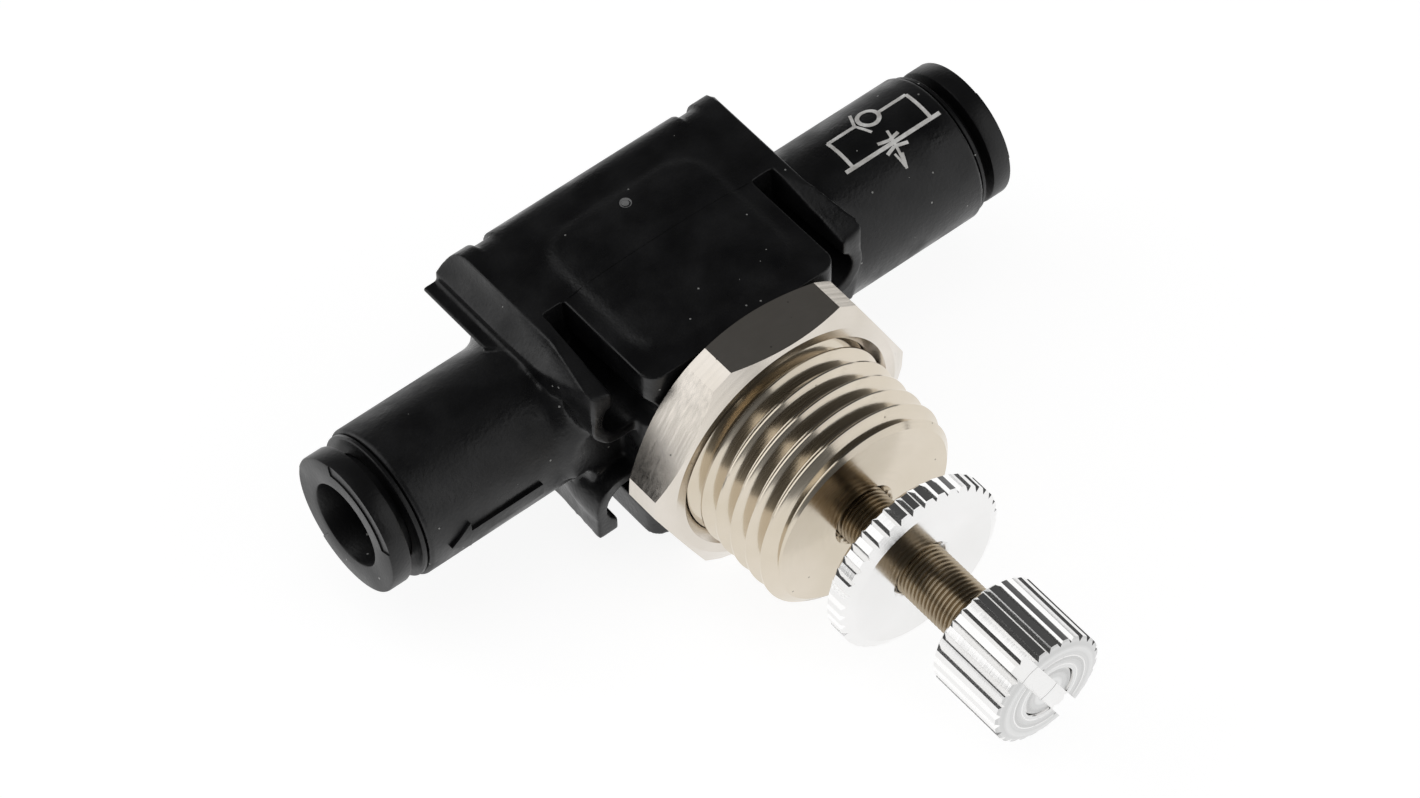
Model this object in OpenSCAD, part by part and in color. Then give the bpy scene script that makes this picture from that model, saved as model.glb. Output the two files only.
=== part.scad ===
// In-line one-way flow control valve with push-in tube ports and a panel-mount bushing.
// Frame: the origin is on the stem axis at the panel seat, which is the body's front face.
// The stem points along -Y, the tube run lies along X, and Z is normal to the plane of the T.

/* [Tube ports] */
// Outside diameter of the tube that the ports take
tube_d = 6; // [5:0.5:7]
// Radial room between the tube and the collet's bore
tube_clearance = 0.1; // [0.05:0.01:0.15]
// Wall of the collet's sleeve
collet_wall = 0.75; // [0.6:0.05:1]
// Wall of the retainer ring's shank
retainer_wall = 0.65; // [0.55:0.05:0.9]
// Wall of the barrel around the retainer ring
barrel_wall = 0.9; // [0.8:0.05:1.3]
// Overall length across both collets at rest
run_length = 52.6; // [52:0.2:60]
// Depth from the collet's mouth to the tube stop
tube_depth = 15.6; // [14:0.1:15.8]
// How far a collet is pressed in to release the tube
collet_travel = 0.7; // [0.5:0.05:1]
// Thickness of the collet's flange
collet_flange_t = 1.55; // [1.2:0.05:2]
// How far the collet's flange stays inside the barrel's radius
collet_rim_inset = 0.4; // [0.3:0.05:0.6]
// Countersink at the collet's mouth
collet_mouth_chamfer = 0.15; // [0.1:0.05:0.5]
// Chamfer round the collet's face and the back of its flange
collet_edge = 0.15; // [0.1:0.05:0.4]
// Thickness of the retainer ring's visible flange
retainer_flange_t = 0.45; // [0.35:0.05:0.6]
// Length of the retainer ring's shank in the barrel
retainer_shank = 3; // [2.6:0.1:3.6]
// Radial drop of the chamfer at the barrel's end
barrel_chamfer_r = 0.2; // [0.1:0.05:0.4]
// Length of the chamfer at the barrel's end
barrel_chamfer_l = 0.3; // [0.2:0.05:0.6]
// Thickness of the toothed grip ring
grip_t = 0.4; // [0.3:0.05:0.5]
// Number of slits between the grip ring's teeth
grip_slits = 8; // [6:1:12]
// Thickness of the seal spacer
spacer_t = 1; // [0.8:0.1:1.4]
// Length of the tube seal
seal_l = 2; // [1.6:0.1:2.4]

/* [Saddle block] */
// Width of the block across both side flanges
block_w = 21.2; // [20.6:0.1:22]
// Height of the block
block_h = 16.8; // [16.2:0.1:19]
// Distance from the panel seat to the tube run's axis
run_y = 8.9; // [8.8:0.05:10]
// Thickness of a side flange
flange_t = 0.94; // [0.7:0.02:1.2]
// Width of a clip slot's mouth
slot_w = 1.78; // [1.4:0.02:2]
// How far the side flanges stop behind the panel seat
flange_setback = 1.7; // [1.2:0.1:2.4]
// Radius of the round channel under a clip slot, at its mouth
channel_r = 1.8; // [1.5:0.05:1.9]
// Radius of the round channel at its closed end
channel_end_r = 1.4; // [1.1:0.05:1.45]
// Depth of the channel's axis below the block's top
channel_depth = 3.75; // [3.6:0.05:4]
// Wall around the channel where it opens at the front
channel_wall = 0.8; // [0.6:0.05:1]
// How far the clip slots reach behind the panel seat
slot_reach = 9; // [8.6:0.1:9.4]
// Radius of the block's upright corners at the panel seat
seat_corner_r = 1.2; // [0.8:0.1:1.5]
// How far the flange flares out at the front
flare = 0.7; // [0.4:0.05:0.9]
// How far a flange's front end lies inside the block's height, at the slot
flare_drop = 1.2; // [0.8:0.1:1.4]
// Angle at which the upper flange's front end slopes towards the slot
flare_bevel_deg = 20; // [12:1:25]
// Angle at which a flange's edge drops towards its front end
flare_drop_deg = 10; // [8:1:12]
// Radius of the hood's rounded back edge
hood_r = 2.2; // [1.5:0.1:2.6]
// Reach of the hood behind the run's axis
hood_reach = 8.8; // [8:0.1:9.6]
// Depth of the two grooves over the hood's back
hood_groove = 0.35; // [0.2:0.05:0.6]
// Height of the hood's underside above the run's axis
hood_floor = 5.1; // [4.8:0.1:5.3]
// Radius of the cove below the flange's top
cove_r = 3.2; // [3:0.05:3.4]
// How far the cove's lower edge stands out from the flange
ridge_w = 1.2; // [1:0.05:1.4]
// How far the ledge below the cove stands out from the flange
ledge_w = 2.25; // [1.8:0.05:2.5]
// Thickness of the ledge
ledge_t = 0.32; // [0.24:0.02:0.36]
// Radius of the fillet between the block and a barrel
root_fillet_r = 2.4; // [1.6:0.1:2.8]
// Radius of the belly's rounded back edge below the barrels
belly_r = 5.15; // [4.5:0.05:5.4]
// Height of the domed pad above the block's top
pad_rise = 0.3; // [0.1:0.05:0.5]
// Width of the domed pad
pad_w = 14.4; // [12:0.1:15]
// Length of the domed pad
pad_l = 13.1; // [11:0.1:14]
// How far the domed pad starts behind the panel seat
pad_setback = 1.2; // [0.8:0.1:1.6]

/* [Bushing and panel nut] */
// Major diameter of the bushing's thread
thread_d = 15.7; // [15:0.1:16.4]
// Pitch of the bushing's thread
thread_pitch = 1.5; // [1:0.25:1.5]
// Length of the bushing in front of the panel seat
bushing_l = 11.95; // [11:0.05:13]
// Chamfer at the bushing's front end
bushing_chamfer = 0.8; // [0.4:0.1:1.2]
// Diameter of the bushing's shank inside the body
shank_d = 12.4; // [12:0.1:12.8]
// Length of the bushing's shank inside the body
shank_l = 4.6; // [4.2:0.1:4.8]
// Thickness of the bushing O-ring's section
bushing_ring_d = 0.94; // [0.8:0.02:1.1]
// Wall from the thread's crests to the panel nut's flats
nut_wall = 1.65; // [1.4:0.05:2.2]
// Thickness of the panel nut
nut_t = 4; // [3:0.1:4.5]
// How far the nut's corners are turned down
nut_corner_turn = 0.44; // [0.2:0.02:0.6]
// Angle of the chamfers on the nut's two faces
nut_chamfer_deg = 28; // [20:1:35]
// Turn of the nut about the stem axis
nut_turn_deg = 3.4; // [-30:0.1:30]
// How far the panel nut can be backed off
nut_travel = 7.5; // [5:0.5:7.5]

/* [Adjusting screw] */
// Major diameter of the adjusting screw's thread
screw_d = 3.96; // [3.6:0.02:4.2]
// Pitch of the adjusting screw's thread
screw_pitch = 0.35; // [0.3:0.05:0.5]
// Diameter of the screw's plunger
plunger_d = 5.08; // [4.9:0.02:5.2]
// Length of the plunger
plunger_l = 4.9; // [4.4:0.1:5.2]
// Diameter of the needle
needle_d = 2.4; // [2:0.05:2.6]
// Length of the needle's taper
needle_taper = 3.6; // [3:0.1:4]
// Travel of the screw from the photographed position to closed
close_travel = 3; // [2:0.1:3]
// Travel of the screw from the photographed position to fully open
open_travel = 1.5; // [1:0.1:1.5]
// Thickness of the screw O-ring's section
screw_ring_d = 0.86; // [0.7:0.02:0.9]

/* [Knob and lock nut] */
// Diameter of the knob
knob_d = 8.6; // [7.5:0.1:10]
// Length of the knob
knob_l = 6.5; // [5.5:0.1:8]
// Bare screw between the lock nut and the knob
bare_screw = 5.76; // [5.7:0.02:6.5]
// Number of flutes on the knob
knob_flutes = 27; // [20:1:30]
// Width of the screwdriver slot
driver_slot_w = 1.45; // [1:0.05:1.8]
// Depth of the screwdriver slot
driver_slot_depth = 0.9; // [0.6:0.1:2]
// Turn of the screwdriver slot from the X axis
driver_slot_deg = 63; // [0:1:180]
// Diameter of the lock nut
lock_d = 13.2; // [11:0.1:14]
// Thickness of the lock nut
lock_t = 2.04; // [1.6:0.02:2.6]
// Gap between the bushing's end and the lock nut
lock_gap = 3.85; // [3.8:0.05:4.5]
// Number of flutes on the lock nut
lock_flutes = 40; // [30:1:48]
// Radius of a flute's cut
flute_r = 0.28; // [0.2:0.02:0.32]
// Small chamfer on the knob's and lock nut's edges
edge_chamfer = 0.3; // [0.1:0.05:0.4]

/* [Inside] */
// Diameter of the valve chamber
chamber_d = 8.4; // [8:0.1:8.6]
// Room between the lower flow passage and the chamber's floor
chamber_floor = 0.7; // [0.4:0.1:1]
// Offset of each flow passage from the run's axis
passage_offset = 1.8; // [1.6:0.05:1.9]
// Diameter of the flow passages
passage_d = 2.4; // [2:0.1:2.6]
// Diameter of the seat's orifice
orifice_d = 2.7; // [2.7:0.05:3]
// Outside diameter of the seat cartridge's barrel
cartridge_d = 6.6; // [6.4:0.05:6.8]
// Thickness of the cartridge O-ring's section
cartridge_ring_d = 0.7; // [0.6:0.02:0.7]

/* [Clearances] */
// Radial room of a running fit
running = 0.05; // [0.03:0.01:0.06]
// Room between faces that rest on each other
seat = 0.05; // [0.02:0.01:0.08]

/* [Hidden] */
$fn = 96;
left = -1;
right = 1;
// A little extra so that cuts pass right through
over = 1;

// Port radii, from the tube outwards
tube_bore_r = tube_d / 2 + tube_clearance;
sleeve_r = tube_bore_r + collet_wall;
retainer_bore_r = sleeve_r + running;
retainer_r = retainer_bore_r + retainer_wall;
socket_r = retainer_r + seat;
barrel_r = socket_r + barrel_wall;
collet_rim_r = barrel_r - collet_rim_inset;
retainer_rim_r = barrel_r - barrel_chamfer_r;
barb_r = sleeve_r + retainer_wall / 3;
barb_bore_r = barb_r + running;
barb_l = 0.4;

// Port places along the run, from the mouth inwards
mouth_x = run_length / 2;
collet_flange_x = mouth_x - collet_flange_t;
retainer_face_x = collet_flange_x - collet_travel - 2 * seat;
barrel_end_x = retainer_face_x - retainer_flange_t;
shank_end_x = barrel_end_x - retainer_shank;
grip_x = shank_end_x - seat - grip_t;
spacer_x = grip_x - seat - spacer_t;
seal_x = spacer_x - seat - seal_l;
seal_seat_x = seal_x - seat;
tube_stop_x = mouth_x - tube_depth;
sleeve_end_x = grip_x + grip_t + collet_travel + seat;
barb_stop_x = sleeve_end_x + barb_l + seat;

// Block places
block_x = block_w / 2;
block_z = block_h / 2;
slot_outer_x = block_x - flange_t;
slot_inner_x = slot_outer_x - slot_w;
channel_x = (slot_outer_x + slot_inner_x) / 2;
channel_z = block_z - channel_depth;
hood_back_y = run_y + hood_reach;
belly_back_y = run_y + barrel_r;
ridge_x = block_x + ridge_w;
ledge_x = block_x + ledge_w;
ledge_z = hood_floor + ledge_t;
cove_bend = 2;
cove_bend_y = slot_reach - cove_bend;
cove_lift = flare / 2;
groove_outer_x = slot_outer_x - slot_w / 5;
waist_z = channel_z - channel_r - channel_wall;
waist_depth = 1.5;
root_floor_z = -1.55;
root_back = barrel_r + 0.8;

// Bushing and nut
thread_r = thread_d / 2;
thread_depth = 0.613 * thread_pitch;
thread_start_y = -0.6;
bushing_end_y = -bushing_l;
shank_r = shank_d / 2;
screw_r = screw_d / 2;
screw_bore_r = screw_r + running;
plunger_r = plunger_d / 2;
plunger_bore_r = plunger_r + running;
shank_chamfer = 0.3;
countersink_r = screw_bore_r + 0.5;
bushing_ring_r = shank_r - bushing_ring_d / 2 + seat / 2;
bushing_groove_y = 2.6;
nut_bore_r = thread_r + running;
nut_flat = thread_r + nut_wall;
nut_corner_r = nut_flat / cos(30) - nut_corner_turn;
nut_back_y = -2 * seat;
nut_front_y = nut_back_y - nut_t;
nut_mouth = 0.7;

// Places along the stem
lock_back_y = bushing_end_y - lock_gap;
lock_front_y = lock_back_y - lock_t;
knob_back_y = lock_front_y - bare_screw;
knob_end_y = knob_back_y - knob_l;
screw_end_y = knob_end_y + 0.1;
plunger_stop_y = -4.1;
plunger_front_y = plunger_stop_y + open_travel + 6 * seat;
plunger_back_y = plunger_front_y + plunger_l;
screw_ring_y = plunger_front_y + plunger_l * 0.57;
screw_ring_r = plunger_r - screw_ring_d / 2 + seat / 2;
needle_r = needle_d / 2;
needle_tip_r = 0.4;
seat_top_y = run_y - 0.7;
needle_taper_y = seat_top_y - close_travel;
needle_tip_y = needle_taper_y + needle_taper;

// Chamber and cartridge
chamber_r = chamber_d / 2;
chamber_depth = run_y + passage_offset + passage_d / 2 + chamber_floor;
chamber_fit_r = chamber_r - seat;
cartridge_r = cartridge_d / 2;
cartridge_top_y = shank_l + seat;
cartridge_collar_l = 1.3;
cartridge_ring_y = cartridge_top_y + cartridge_collar_l / 2;
cartridge_ring_r = chamber_fit_r - cartridge_ring_d / 2 + seat / 4;
cartridge_bore_r = plunger_bore_r + running;
seat_wall = 1.1;
seat_bottom_y = seat_top_y + seat_wall;
lip_groove_y = seat_top_y + 0.5;
lip_groove_l = 1;
lip_groove_r = cartridge_r - 0.4;
lip_root_r = cartridge_r + 0.25;
cartridge_foot_r = cartridge_r + 0.3;
outlet_r = orifice_d / 2 + 0.7;
window_r = 0.45 * passage_d;
cartridge_end_y = lip_groove_y + lip_groove_l + 0.5;

// A rod along Y between two places
module rod_y(r, y0, y1) {
    translate([0, y0, 0]) rotate([-90, 0, 0]) cylinder(r = r, h = y1 - y0);
}

// A rod along X between two places
module rod_x(r, x0, x1) {
    translate([x0, 0, 0]) rotate([0, 90, 0]) cylinder(r = r, h = x1 - x0);
}

// A solid turned about the stem axis from [radius, y] points
module turn_y(points) {
    rotate([-90, 0, 0]) rotate_extrude() polygon(points);
}

// A rubber ring about the stem axis
module ring_y(r, section_d, y) {
    translate([0, y, 0]) rotate([-90, 0, 0])
        rotate_extrude() translate([r, 0]) circle(d = section_d, $fn = 32);
}

// Children drawn along +Z are laid on a port, with +Z pointing out of its mouth
module on_port(side) {
    translate([0, run_y, 0]) rotate([0, 90 * side, 0]) children();
}

// Children drawn in a [y, z] outline are stretched along X
module along_x(x0, x1) {
    translate([x0, 0, 0]) rotate([90, 0, 90]) linear_extrude(x1 - x0) children();
}

// Outline of the block from the side: a hood with a rounded back edge that overhangs the run,
// and a belly with a larger round below it
module block_outline(front, back) {
    translate([front, hood_floor]) square([back - hood_r - front, block_z - hood_floor]);
    translate([front, hood_floor]) square([back - front, block_z - hood_r - hood_floor]);
    intersection() {
        translate([back - hood_r, block_z - hood_r]) circle(hood_r);
        translate([front, hood_floor]) square([back - front, block_z - hood_floor]);
    }
    translate([front, -block_z]) square([belly_back_y - belly_r - front, block_z + hood_floor]);
    translate([front, belly_r - block_z]) square([belly_back_y - front, block_z - belly_r + hood_floor]);
    translate([belly_back_y - belly_r, belly_r - block_z]) circle(belly_r);
}

// One of the four clip channels: a slot in the block's face that opens into a round channel
module clip_channel() {
    front = -over;
    translate([slot_inner_x, front, channel_z]) cube([slot_w, slot_reach - front, block_z]);
    translate([channel_x, front, channel_z]) rotate([-90, 0, 0])
        cylinder(r1 = channel_r, r2 = channel_end_r, h = slot_reach - front);
}

// The round wall of a channel's front end and the flared flange above it
module channel_mouth() {
    r = channel_r + channel_wall;
    taper_y = flange_setback + channel_r + flare;
    translate([channel_x, 0, channel_z]) {
        rod_y(r, flange_setback, taper_y);
        translate([0, taper_y, 0]) rotate([-90, 0, 0])
            cylinder(r1 = r, r2 = block_x - channel_x, h = slot_reach - taper_y);
    }
    translate([0, 0, channel_z]) linear_extrude(block_z - channel_z) polygon([
        [slot_outer_x, flange_setback], [block_x + flare, flange_setback],
        [block_x, cove_bend_y], [slot_outer_x, cove_bend_y]
    ]);
}

// Cut that slopes a flange's edge down towards its front end, and by the bevel towards the slot
module flange_slope(bevel) {
    translate([slot_outer_x, flange_setback, block_z - flare_drop])
        rotate([flare_drop_deg, -bevel, 0])
            translate([-seat, -over, 0]) cube([block_x, slot_reach, block_z]);
}

// The cove that falls from the flange's top: straight beside the hood, and running out along the
// flare towards the front
module cove() {
    start_y = flange_setback - over;
    start_r = cove_r - flare * (cove_bend_y - start_y) / (cove_bend_y - flange_setback);
    translate([block_x + cove_r, 0, block_z + cove_lift]) turn_y([
        [0, start_y], [start_r, start_y], [cove_r, cove_bend_y], [cove_r, block_w], [0, block_w]
    ]);
}

// The solid under the cove and the thin ledge that stands out below it behind the barrel
module ledge() {
    difference() {
        intersection() {
            along_x(slot_outer_x, ridge_x) block_outline(flange_setback, hood_back_y);
            translate([0, 0, hood_floor]) linear_extrude(block_h) polygon([
                [slot_outer_x, flange_setback], [block_x + flare, flange_setback],
                [ridge_x, cove_bend_y], [ridge_x, hood_back_y], [slot_outer_x, hood_back_y]
            ]);
        }
        cove();
    }
    translate([0, 0, hood_floor]) linear_extrude(ledge_t) polygon([
        [slot_outer_x, run_y], [block_x, run_y], [ledge_x, run_y + ledge_w],
        [ledge_x, hood_back_y], [slot_outer_x, hood_back_y]
    ]);
}

// The fillet between the block's side and a barrel, cut off below and in front of the barrel
module root_fillet() {
    r = barrel_r + root_fillet_r;
    intersection() {
        rotate_extrude() difference() {
            translate([0, slot_inner_x]) square([r, block_x + root_fillet_r - slot_inner_x]);
            translate([r, block_x + root_fillet_r]) circle(root_fillet_r);
        }
        translate([-hood_floor, -barrel_r - over, 0])
            cube([hood_floor - root_floor_z, barrel_r + over + root_back, mouth_x]);
    }
}

// The block's middle between the clip slots, with its upright front corners rounded
module block_middle() {
    intersection() {
        along_x(-slot_inner_x, slot_inner_x) block_outline(0, hood_back_y);
        translate([0, 0, -block_h]) linear_extrude(2 * block_h) {
            translate([-slot_inner_x, seat_corner_r]) square([2 * slot_inner_x, hood_back_y]);
            translate([seat_corner_r - slot_inner_x, 0])
                square([2 * (slot_inner_x - seat_corner_r), hood_back_y]);
            for (sx = [left, right])
                translate([sx * (slot_inner_x - seat_corner_r), seat_corner_r]) circle(seat_corner_r);
        }
    }
}

// Children made for the upper right corner, repeated in all four corners
module four_corners() {
    for (sx = [0, 1], sz = [0, 1]) mirror([sx, 0, 0]) mirror([0, 0, sz]) children();
}

// The shallow dome on top of the block
module pad() {
    // the arcs dip just under the block's top at the pad's edges
    dip = 1.05 * pad_rise;
    cross_r = pad_w * pad_w / (8 * dip);
    long_r = pad_l * pad_l / (8 * dip);
    mid_y = pad_setback + pad_l / 2;
    intersection() {
        translate([-pad_w / 2, pad_setback, 0]) cube([pad_w, pad_l, block_h]);
        translate([0, 0, block_z + pad_rise - cross_r]) rod_y(cross_r, 0, hood_back_y, $fn = 200);
        translate([0, mid_y, block_z + pad_rise - long_r]) rod_x(long_r, -pad_w, pad_w, $fn = 200);
    }
}

// Barrel of one port with its chamfered end
module barrel() {
    rotate_extrude() polygon([
        [0, 0], [barrel_r, 0], [barrel_r, barrel_end_x - barrel_chamfer_l],
        [retainer_rim_r, barrel_end_x], [0, barrel_end_x]
    ]);
}

// Stepped bore of one port: socket for the rings, tube bore and tube stop
module port_bore() {
    translate([0, 0, seal_seat_x]) cylinder(r = socket_r, h = mouth_x);
    translate([0, 0, tube_stop_x]) cylinder(r = tube_bore_r, h = mouth_x);
}

// Flow passage from a tube stop into the chamber, shifted along the stem axis
module passage(side, shift) {
    translate([0, shift, 0]) on_port(side) cylinder(d = passage_d, h = tube_stop_x + over);
}

module body() {
    color("#1b1c1e") difference() {
        union() {
            for (side = [left, right]) on_port(side) barrel();
            block_middle();
            for (sx = [0, 1]) mirror([sx, 0, 0]) {
                along_x(slot_inner_x - over, groove_outer_x)
                    block_outline(flange_setback, hood_back_y - hood_groove);
                along_x(groove_outer_x, block_x) block_outline(flange_setback, hood_back_y);
                ledge();
                on_port(right) root_fillet();
            }
            four_corners() channel_mouth();
            pad();
        }
        four_corners() clip_channel();
        for (sx = [0, 1]) mirror([sx, 0, 0]) {
            flange_slope(flare_bevel_deg);
            mirror([0, 0, 1]) flange_slope(0);
        }
        // waist between the upper and lower channels, in front of the barrels
        for (sx = [0, 1]) mirror([sx, 0, 0])
            translate([slot_inner_x, -over, -waist_z])
                cube([block_w, flange_setback + waist_depth + over, 2 * waist_z]);
        for (side = [left, right]) on_port(side) port_bore();
        passage(left, -passage_offset);
        passage(right, passage_offset);
        rod_y(shank_r + seat, -over, shank_l + seat);
        rod_y(chamber_r, 0, chamber_depth);
    }
}

// Thread outline as [radius, y] points from y0 down towards y1: grooves with flat roots between
// narrow crests, closed by the crest that the end chamfer starts from
function thread_points(r, depth, pitch, y0, y1) =
    let (grooves = floor((y0 - y1) / pitch))
    concat([
        for (i = [0 : grooves - 1])
            let (y = y0 - i * pitch)
            each [[r, y], [r, y - pitch / 8], [r - depth, y - pitch * 7 / 16],
                  [r - depth, y - pitch * 11 / 16]]
    ], [[r, y0 - grooves * pitch]]);

module threaded_bushing() {
    groove_half = bushing_ring_d / 2 + seat;
    groove_r = bushing_ring_r - bushing_ring_d / 2 - seat / 2;
    color("#cfc6b4") difference() {
        turn_y(concat(
            [[0, shank_l], [shank_r - shank_chamfer, shank_l], [shank_r, shank_l - shank_chamfer],
             [shank_r, bushing_groove_y + groove_half], [groove_r, bushing_groove_y + groove_half],
             [groove_r, bushing_groove_y - groove_half], [shank_r, bushing_groove_y - groove_half],
             [shank_r, 0], [thread_r - thread_depth, 0], [thread_r - thread_depth, thread_start_y]],
            thread_points(thread_r, thread_depth, thread_pitch, thread_start_y - thread_depth,
                bushing_end_y + bushing_chamfer),
            [[thread_r, bushing_end_y + bushing_chamfer], [thread_r - bushing_chamfer, bushing_end_y],
             [0, bushing_end_y]]
        ));
        rod_y(screw_bore_r, bushing_end_y - over, shank_l);
        rod_y(plunger_bore_r, plunger_stop_y, shank_l + over);
        turn_y([[0, bushing_end_y - seat], [countersink_r, bushing_end_y - seat],
                [0, bushing_end_y + countersink_r]]);
    }
}

module bushing_o_ring() {
    color("#202020") ring_y(bushing_ring_r, bushing_ring_d, bushing_groove_y);
}

module panel_nut() {
    cone_r = nut_flat - 2 * seat;
    cone_drop = (nut_corner_r - cone_r) * tan(nut_chamfer_deg);
    color("#d3cab8") difference() {
        intersection() {
            rotate([0, nut_turn_deg, 0]) translate([0, nut_front_y, 0]) rotate([-90, 0, 0])
                cylinder(r = nut_flat / cos(30), h = nut_t, $fn = 6);
            turn_y([[0, nut_back_y], [cone_r, nut_back_y], [nut_corner_r, nut_back_y - cone_drop],
                    [nut_corner_r, nut_front_y + cone_drop], [cone_r, nut_front_y], [0, nut_front_y]]);
        }
        rod_y(nut_bore_r, nut_front_y - over, nut_back_y + over);
        turn_y([[0, nut_front_y - over], [nut_bore_r + nut_mouth + over, nut_front_y - over],
                [0, nut_front_y + nut_bore_r + nut_mouth]]);
    }
}

module adjusting_screw() {
    groove_half = screw_ring_d / 2 + 2 * seat;
    groove_r = screw_ring_r - screw_ring_d / 2 - seat / 2;
    thread_depth_s = 0.54 * screw_pitch;
    zigzag = [
        for (i = [0 : floor((bushing_end_y - knob_back_y + close_travel) / screw_pitch)])
            let (y = bushing_end_y + close_travel - i * screw_pitch)
            each [[screw_r, y], [screw_r - thread_depth_s, y - screw_pitch / 2]]
    ];
    color("#8d7f69") difference() {
        turn_y(concat(
            [[0, needle_tip_y], [needle_tip_r, needle_tip_y], [needle_r, needle_taper_y],
             [needle_r, plunger_back_y], [plunger_r, plunger_back_y],
             [plunger_r, screw_ring_y + groove_half], [groove_r, screw_ring_y + groove_half],
             [groove_r, screw_ring_y - groove_half], [plunger_r, screw_ring_y - groove_half],
             [plunger_r, plunger_front_y], [screw_r, plunger_front_y]],
            zigzag,
            [[screw_r, knob_back_y - screw_pitch], [screw_r, screw_end_y], [0, screw_end_y]]
        ));
        driver_slot();
    }
}

module screw_o_ring() {
    color("#202020") ring_y(screw_ring_r, screw_ring_d, screw_ring_y);
}

// Screwdriver slot across the ends of the knob and the screw
module driver_slot() {
    rotate([0, driver_slot_deg, 0])
        translate([-knob_d, knob_end_y - over, -driver_slot_w / 2])
            cube([2 * knob_d, driver_slot_depth + over, driver_slot_w]);
}

// A round head along Y with straight flutes round its rim and chamfered edges
module fluted(d, y0, y1, count) {
    intersection() {
        translate([0, y0, 0]) rotate([-90, 0, 0]) linear_extrude(y1 - y0) difference() {
            circle(d = d);
            for (i = [0 : count - 1]) rotate(i * 360 / count) translate([d / 2, 0]) circle(flute_r, $fn = 24);
        }
        turn_y([[0, y0], [d / 2 - edge_chamfer, y0], [d / 2 + over, y0 + edge_chamfer + over],
                [d / 2 + over, y1 - edge_chamfer - over], [d / 2 - edge_chamfer, y1], [0, y1]]);
    }
}

module lock_nut() {
    color("#d9dcdf") difference() {
        fluted(lock_d, lock_front_y, lock_back_y, lock_flutes);
        rod_y(screw_bore_r, lock_front_y - over, lock_back_y + over);
    }
}

module knob() {
    color("#dfe2e5") difference() {
        fluted(knob_d, knob_end_y, knob_back_y, knob_flutes);
        rod_y(screw_r + seat / 2, knob_end_y - over, knob_back_y + over);
        driver_slot();
    }
}

module seat_cartridge() {
    groove_half = cartridge_ring_d / 2 + seat / 2;
    groove_r = cartridge_ring_r - cartridge_ring_d / 2 - seat / 2;
    collar_y = cartridge_top_y + cartridge_collar_l;
    window_y = run_y - passage_offset;
    color("#b59b62") difference() {
        turn_y([
            [0, cartridge_end_y], [cartridge_foot_r, cartridge_end_y],
            [cartridge_foot_r, lip_groove_y + lip_groove_l], [lip_groove_r, lip_groove_y + lip_groove_l],
            [lip_groove_r, lip_groove_y], [cartridge_r, lip_groove_y], [cartridge_r, collar_y],
            [chamber_fit_r, collar_y], [chamber_fit_r, cartridge_ring_y + groove_half],
            [groove_r, cartridge_ring_y + groove_half], [groove_r, cartridge_ring_y - groove_half],
            [chamber_fit_r, cartridge_ring_y - groove_half], [chamber_fit_r, cartridge_top_y],
            [0, cartridge_top_y]
        ]);
        rod_y(cartridge_bore_r, cartridge_top_y - over, seat_top_y);
        rod_y(orifice_d / 2, seat_top_y - over, cartridge_end_y + over);
        rod_y(outlet_r, seat_bottom_y, cartridge_end_y + over);
        translate([0, window_y, 0]) rod_x(window_r, -chamber_r, chamber_r);
    }
}

module cartridge_o_ring() {
    color("#202020") ring_y(cartridge_ring_r, cartridge_ring_d, cartridge_ring_y);
}

module check_lip_seal() {
    y0 = lip_groove_y + seat;
    y1 = lip_groove_y + lip_groove_l - seat;
    lip_r = chamber_r - seat;
    lip_t = lip_groove_l / 5;
    color("#262626") turn_y([
        [lip_groove_r + seat, y1], [lip_root_r, y1], [lip_r, y0 + lip_t], [lip_r - seat, y0],
        [lip_root_r, y0 + 2 * lip_t - seat], [lip_root_r, y0], [lip_groove_r + seat, y0]
    ]);
}

module collet(side) {
    color("#222325") on_port(side) rotate_extrude() polygon([
        [tube_bore_r, sleeve_end_x], [barb_r, sleeve_end_x], [barb_r, sleeve_end_x + barb_l],
        [sleeve_r, sleeve_end_x + barb_l], [sleeve_r, collet_flange_x],
        [collet_rim_r - collet_edge, collet_flange_x], [collet_rim_r, collet_flange_x + collet_edge],
        [collet_rim_r, mouth_x - collet_edge], [collet_rim_r - collet_edge, mouth_x],
        [tube_bore_r + collet_mouth_chamfer, mouth_x], [tube_bore_r, mouth_x - collet_mouth_chamfer]
    ]);
}

module retainer_ring(side) {
    edge = retainer_flange_t / 5;
    color("#232426") on_port(side) rotate_extrude() polygon([
        [barb_bore_r, shank_end_x], [retainer_r, shank_end_x], [retainer_r, barrel_end_x],
        [retainer_rim_r, barrel_end_x], [retainer_rim_r, retainer_face_x - edge],
        [retainer_rim_r - edge, retainer_face_x], [retainer_bore_r, retainer_face_x],
        [retainer_bore_r, barb_stop_x], [barb_bore_r, barb_stop_x]
    ]);
}

module grip_ring(side) {
    bore = tube_bore_r + seat / 2;
    slit_w = 0.3;
    slit_l = 0.6 * (retainer_r - bore);
    color("#b9bcc0") on_port(side) translate([0, 0, grip_x]) linear_extrude(grip_t) difference() {
        circle(retainer_r);
        circle(bore);
        for (i = [0 : grip_slits - 1]) rotate(i * 360 / grip_slits)
            translate([0, -slit_w / 2]) square([bore + slit_l, slit_w]);
    }
}

module seal_spacer(side) {
    color("#d8d4c8") on_port(side) rotate_extrude()
        translate([tube_bore_r + 2 * seat, spacer_x]) square([retainer_r - tube_bore_r - 2 * seat, spacer_t]);
}

module tube_seal(side) {
    bore = tube_bore_r + seat / 2;
    lip = seal_l / 5;
    color("#1d1d1d") on_port(side) rotate_extrude() polygon([
        [bore + lip, seal_x], [retainer_r, seal_x], [retainer_r, seal_x + seal_l],
        [bore + lip, seal_x + seal_l], [bore, seal_x + seal_l - lip], [bore, seal_x + lip]
    ]);
}

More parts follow.
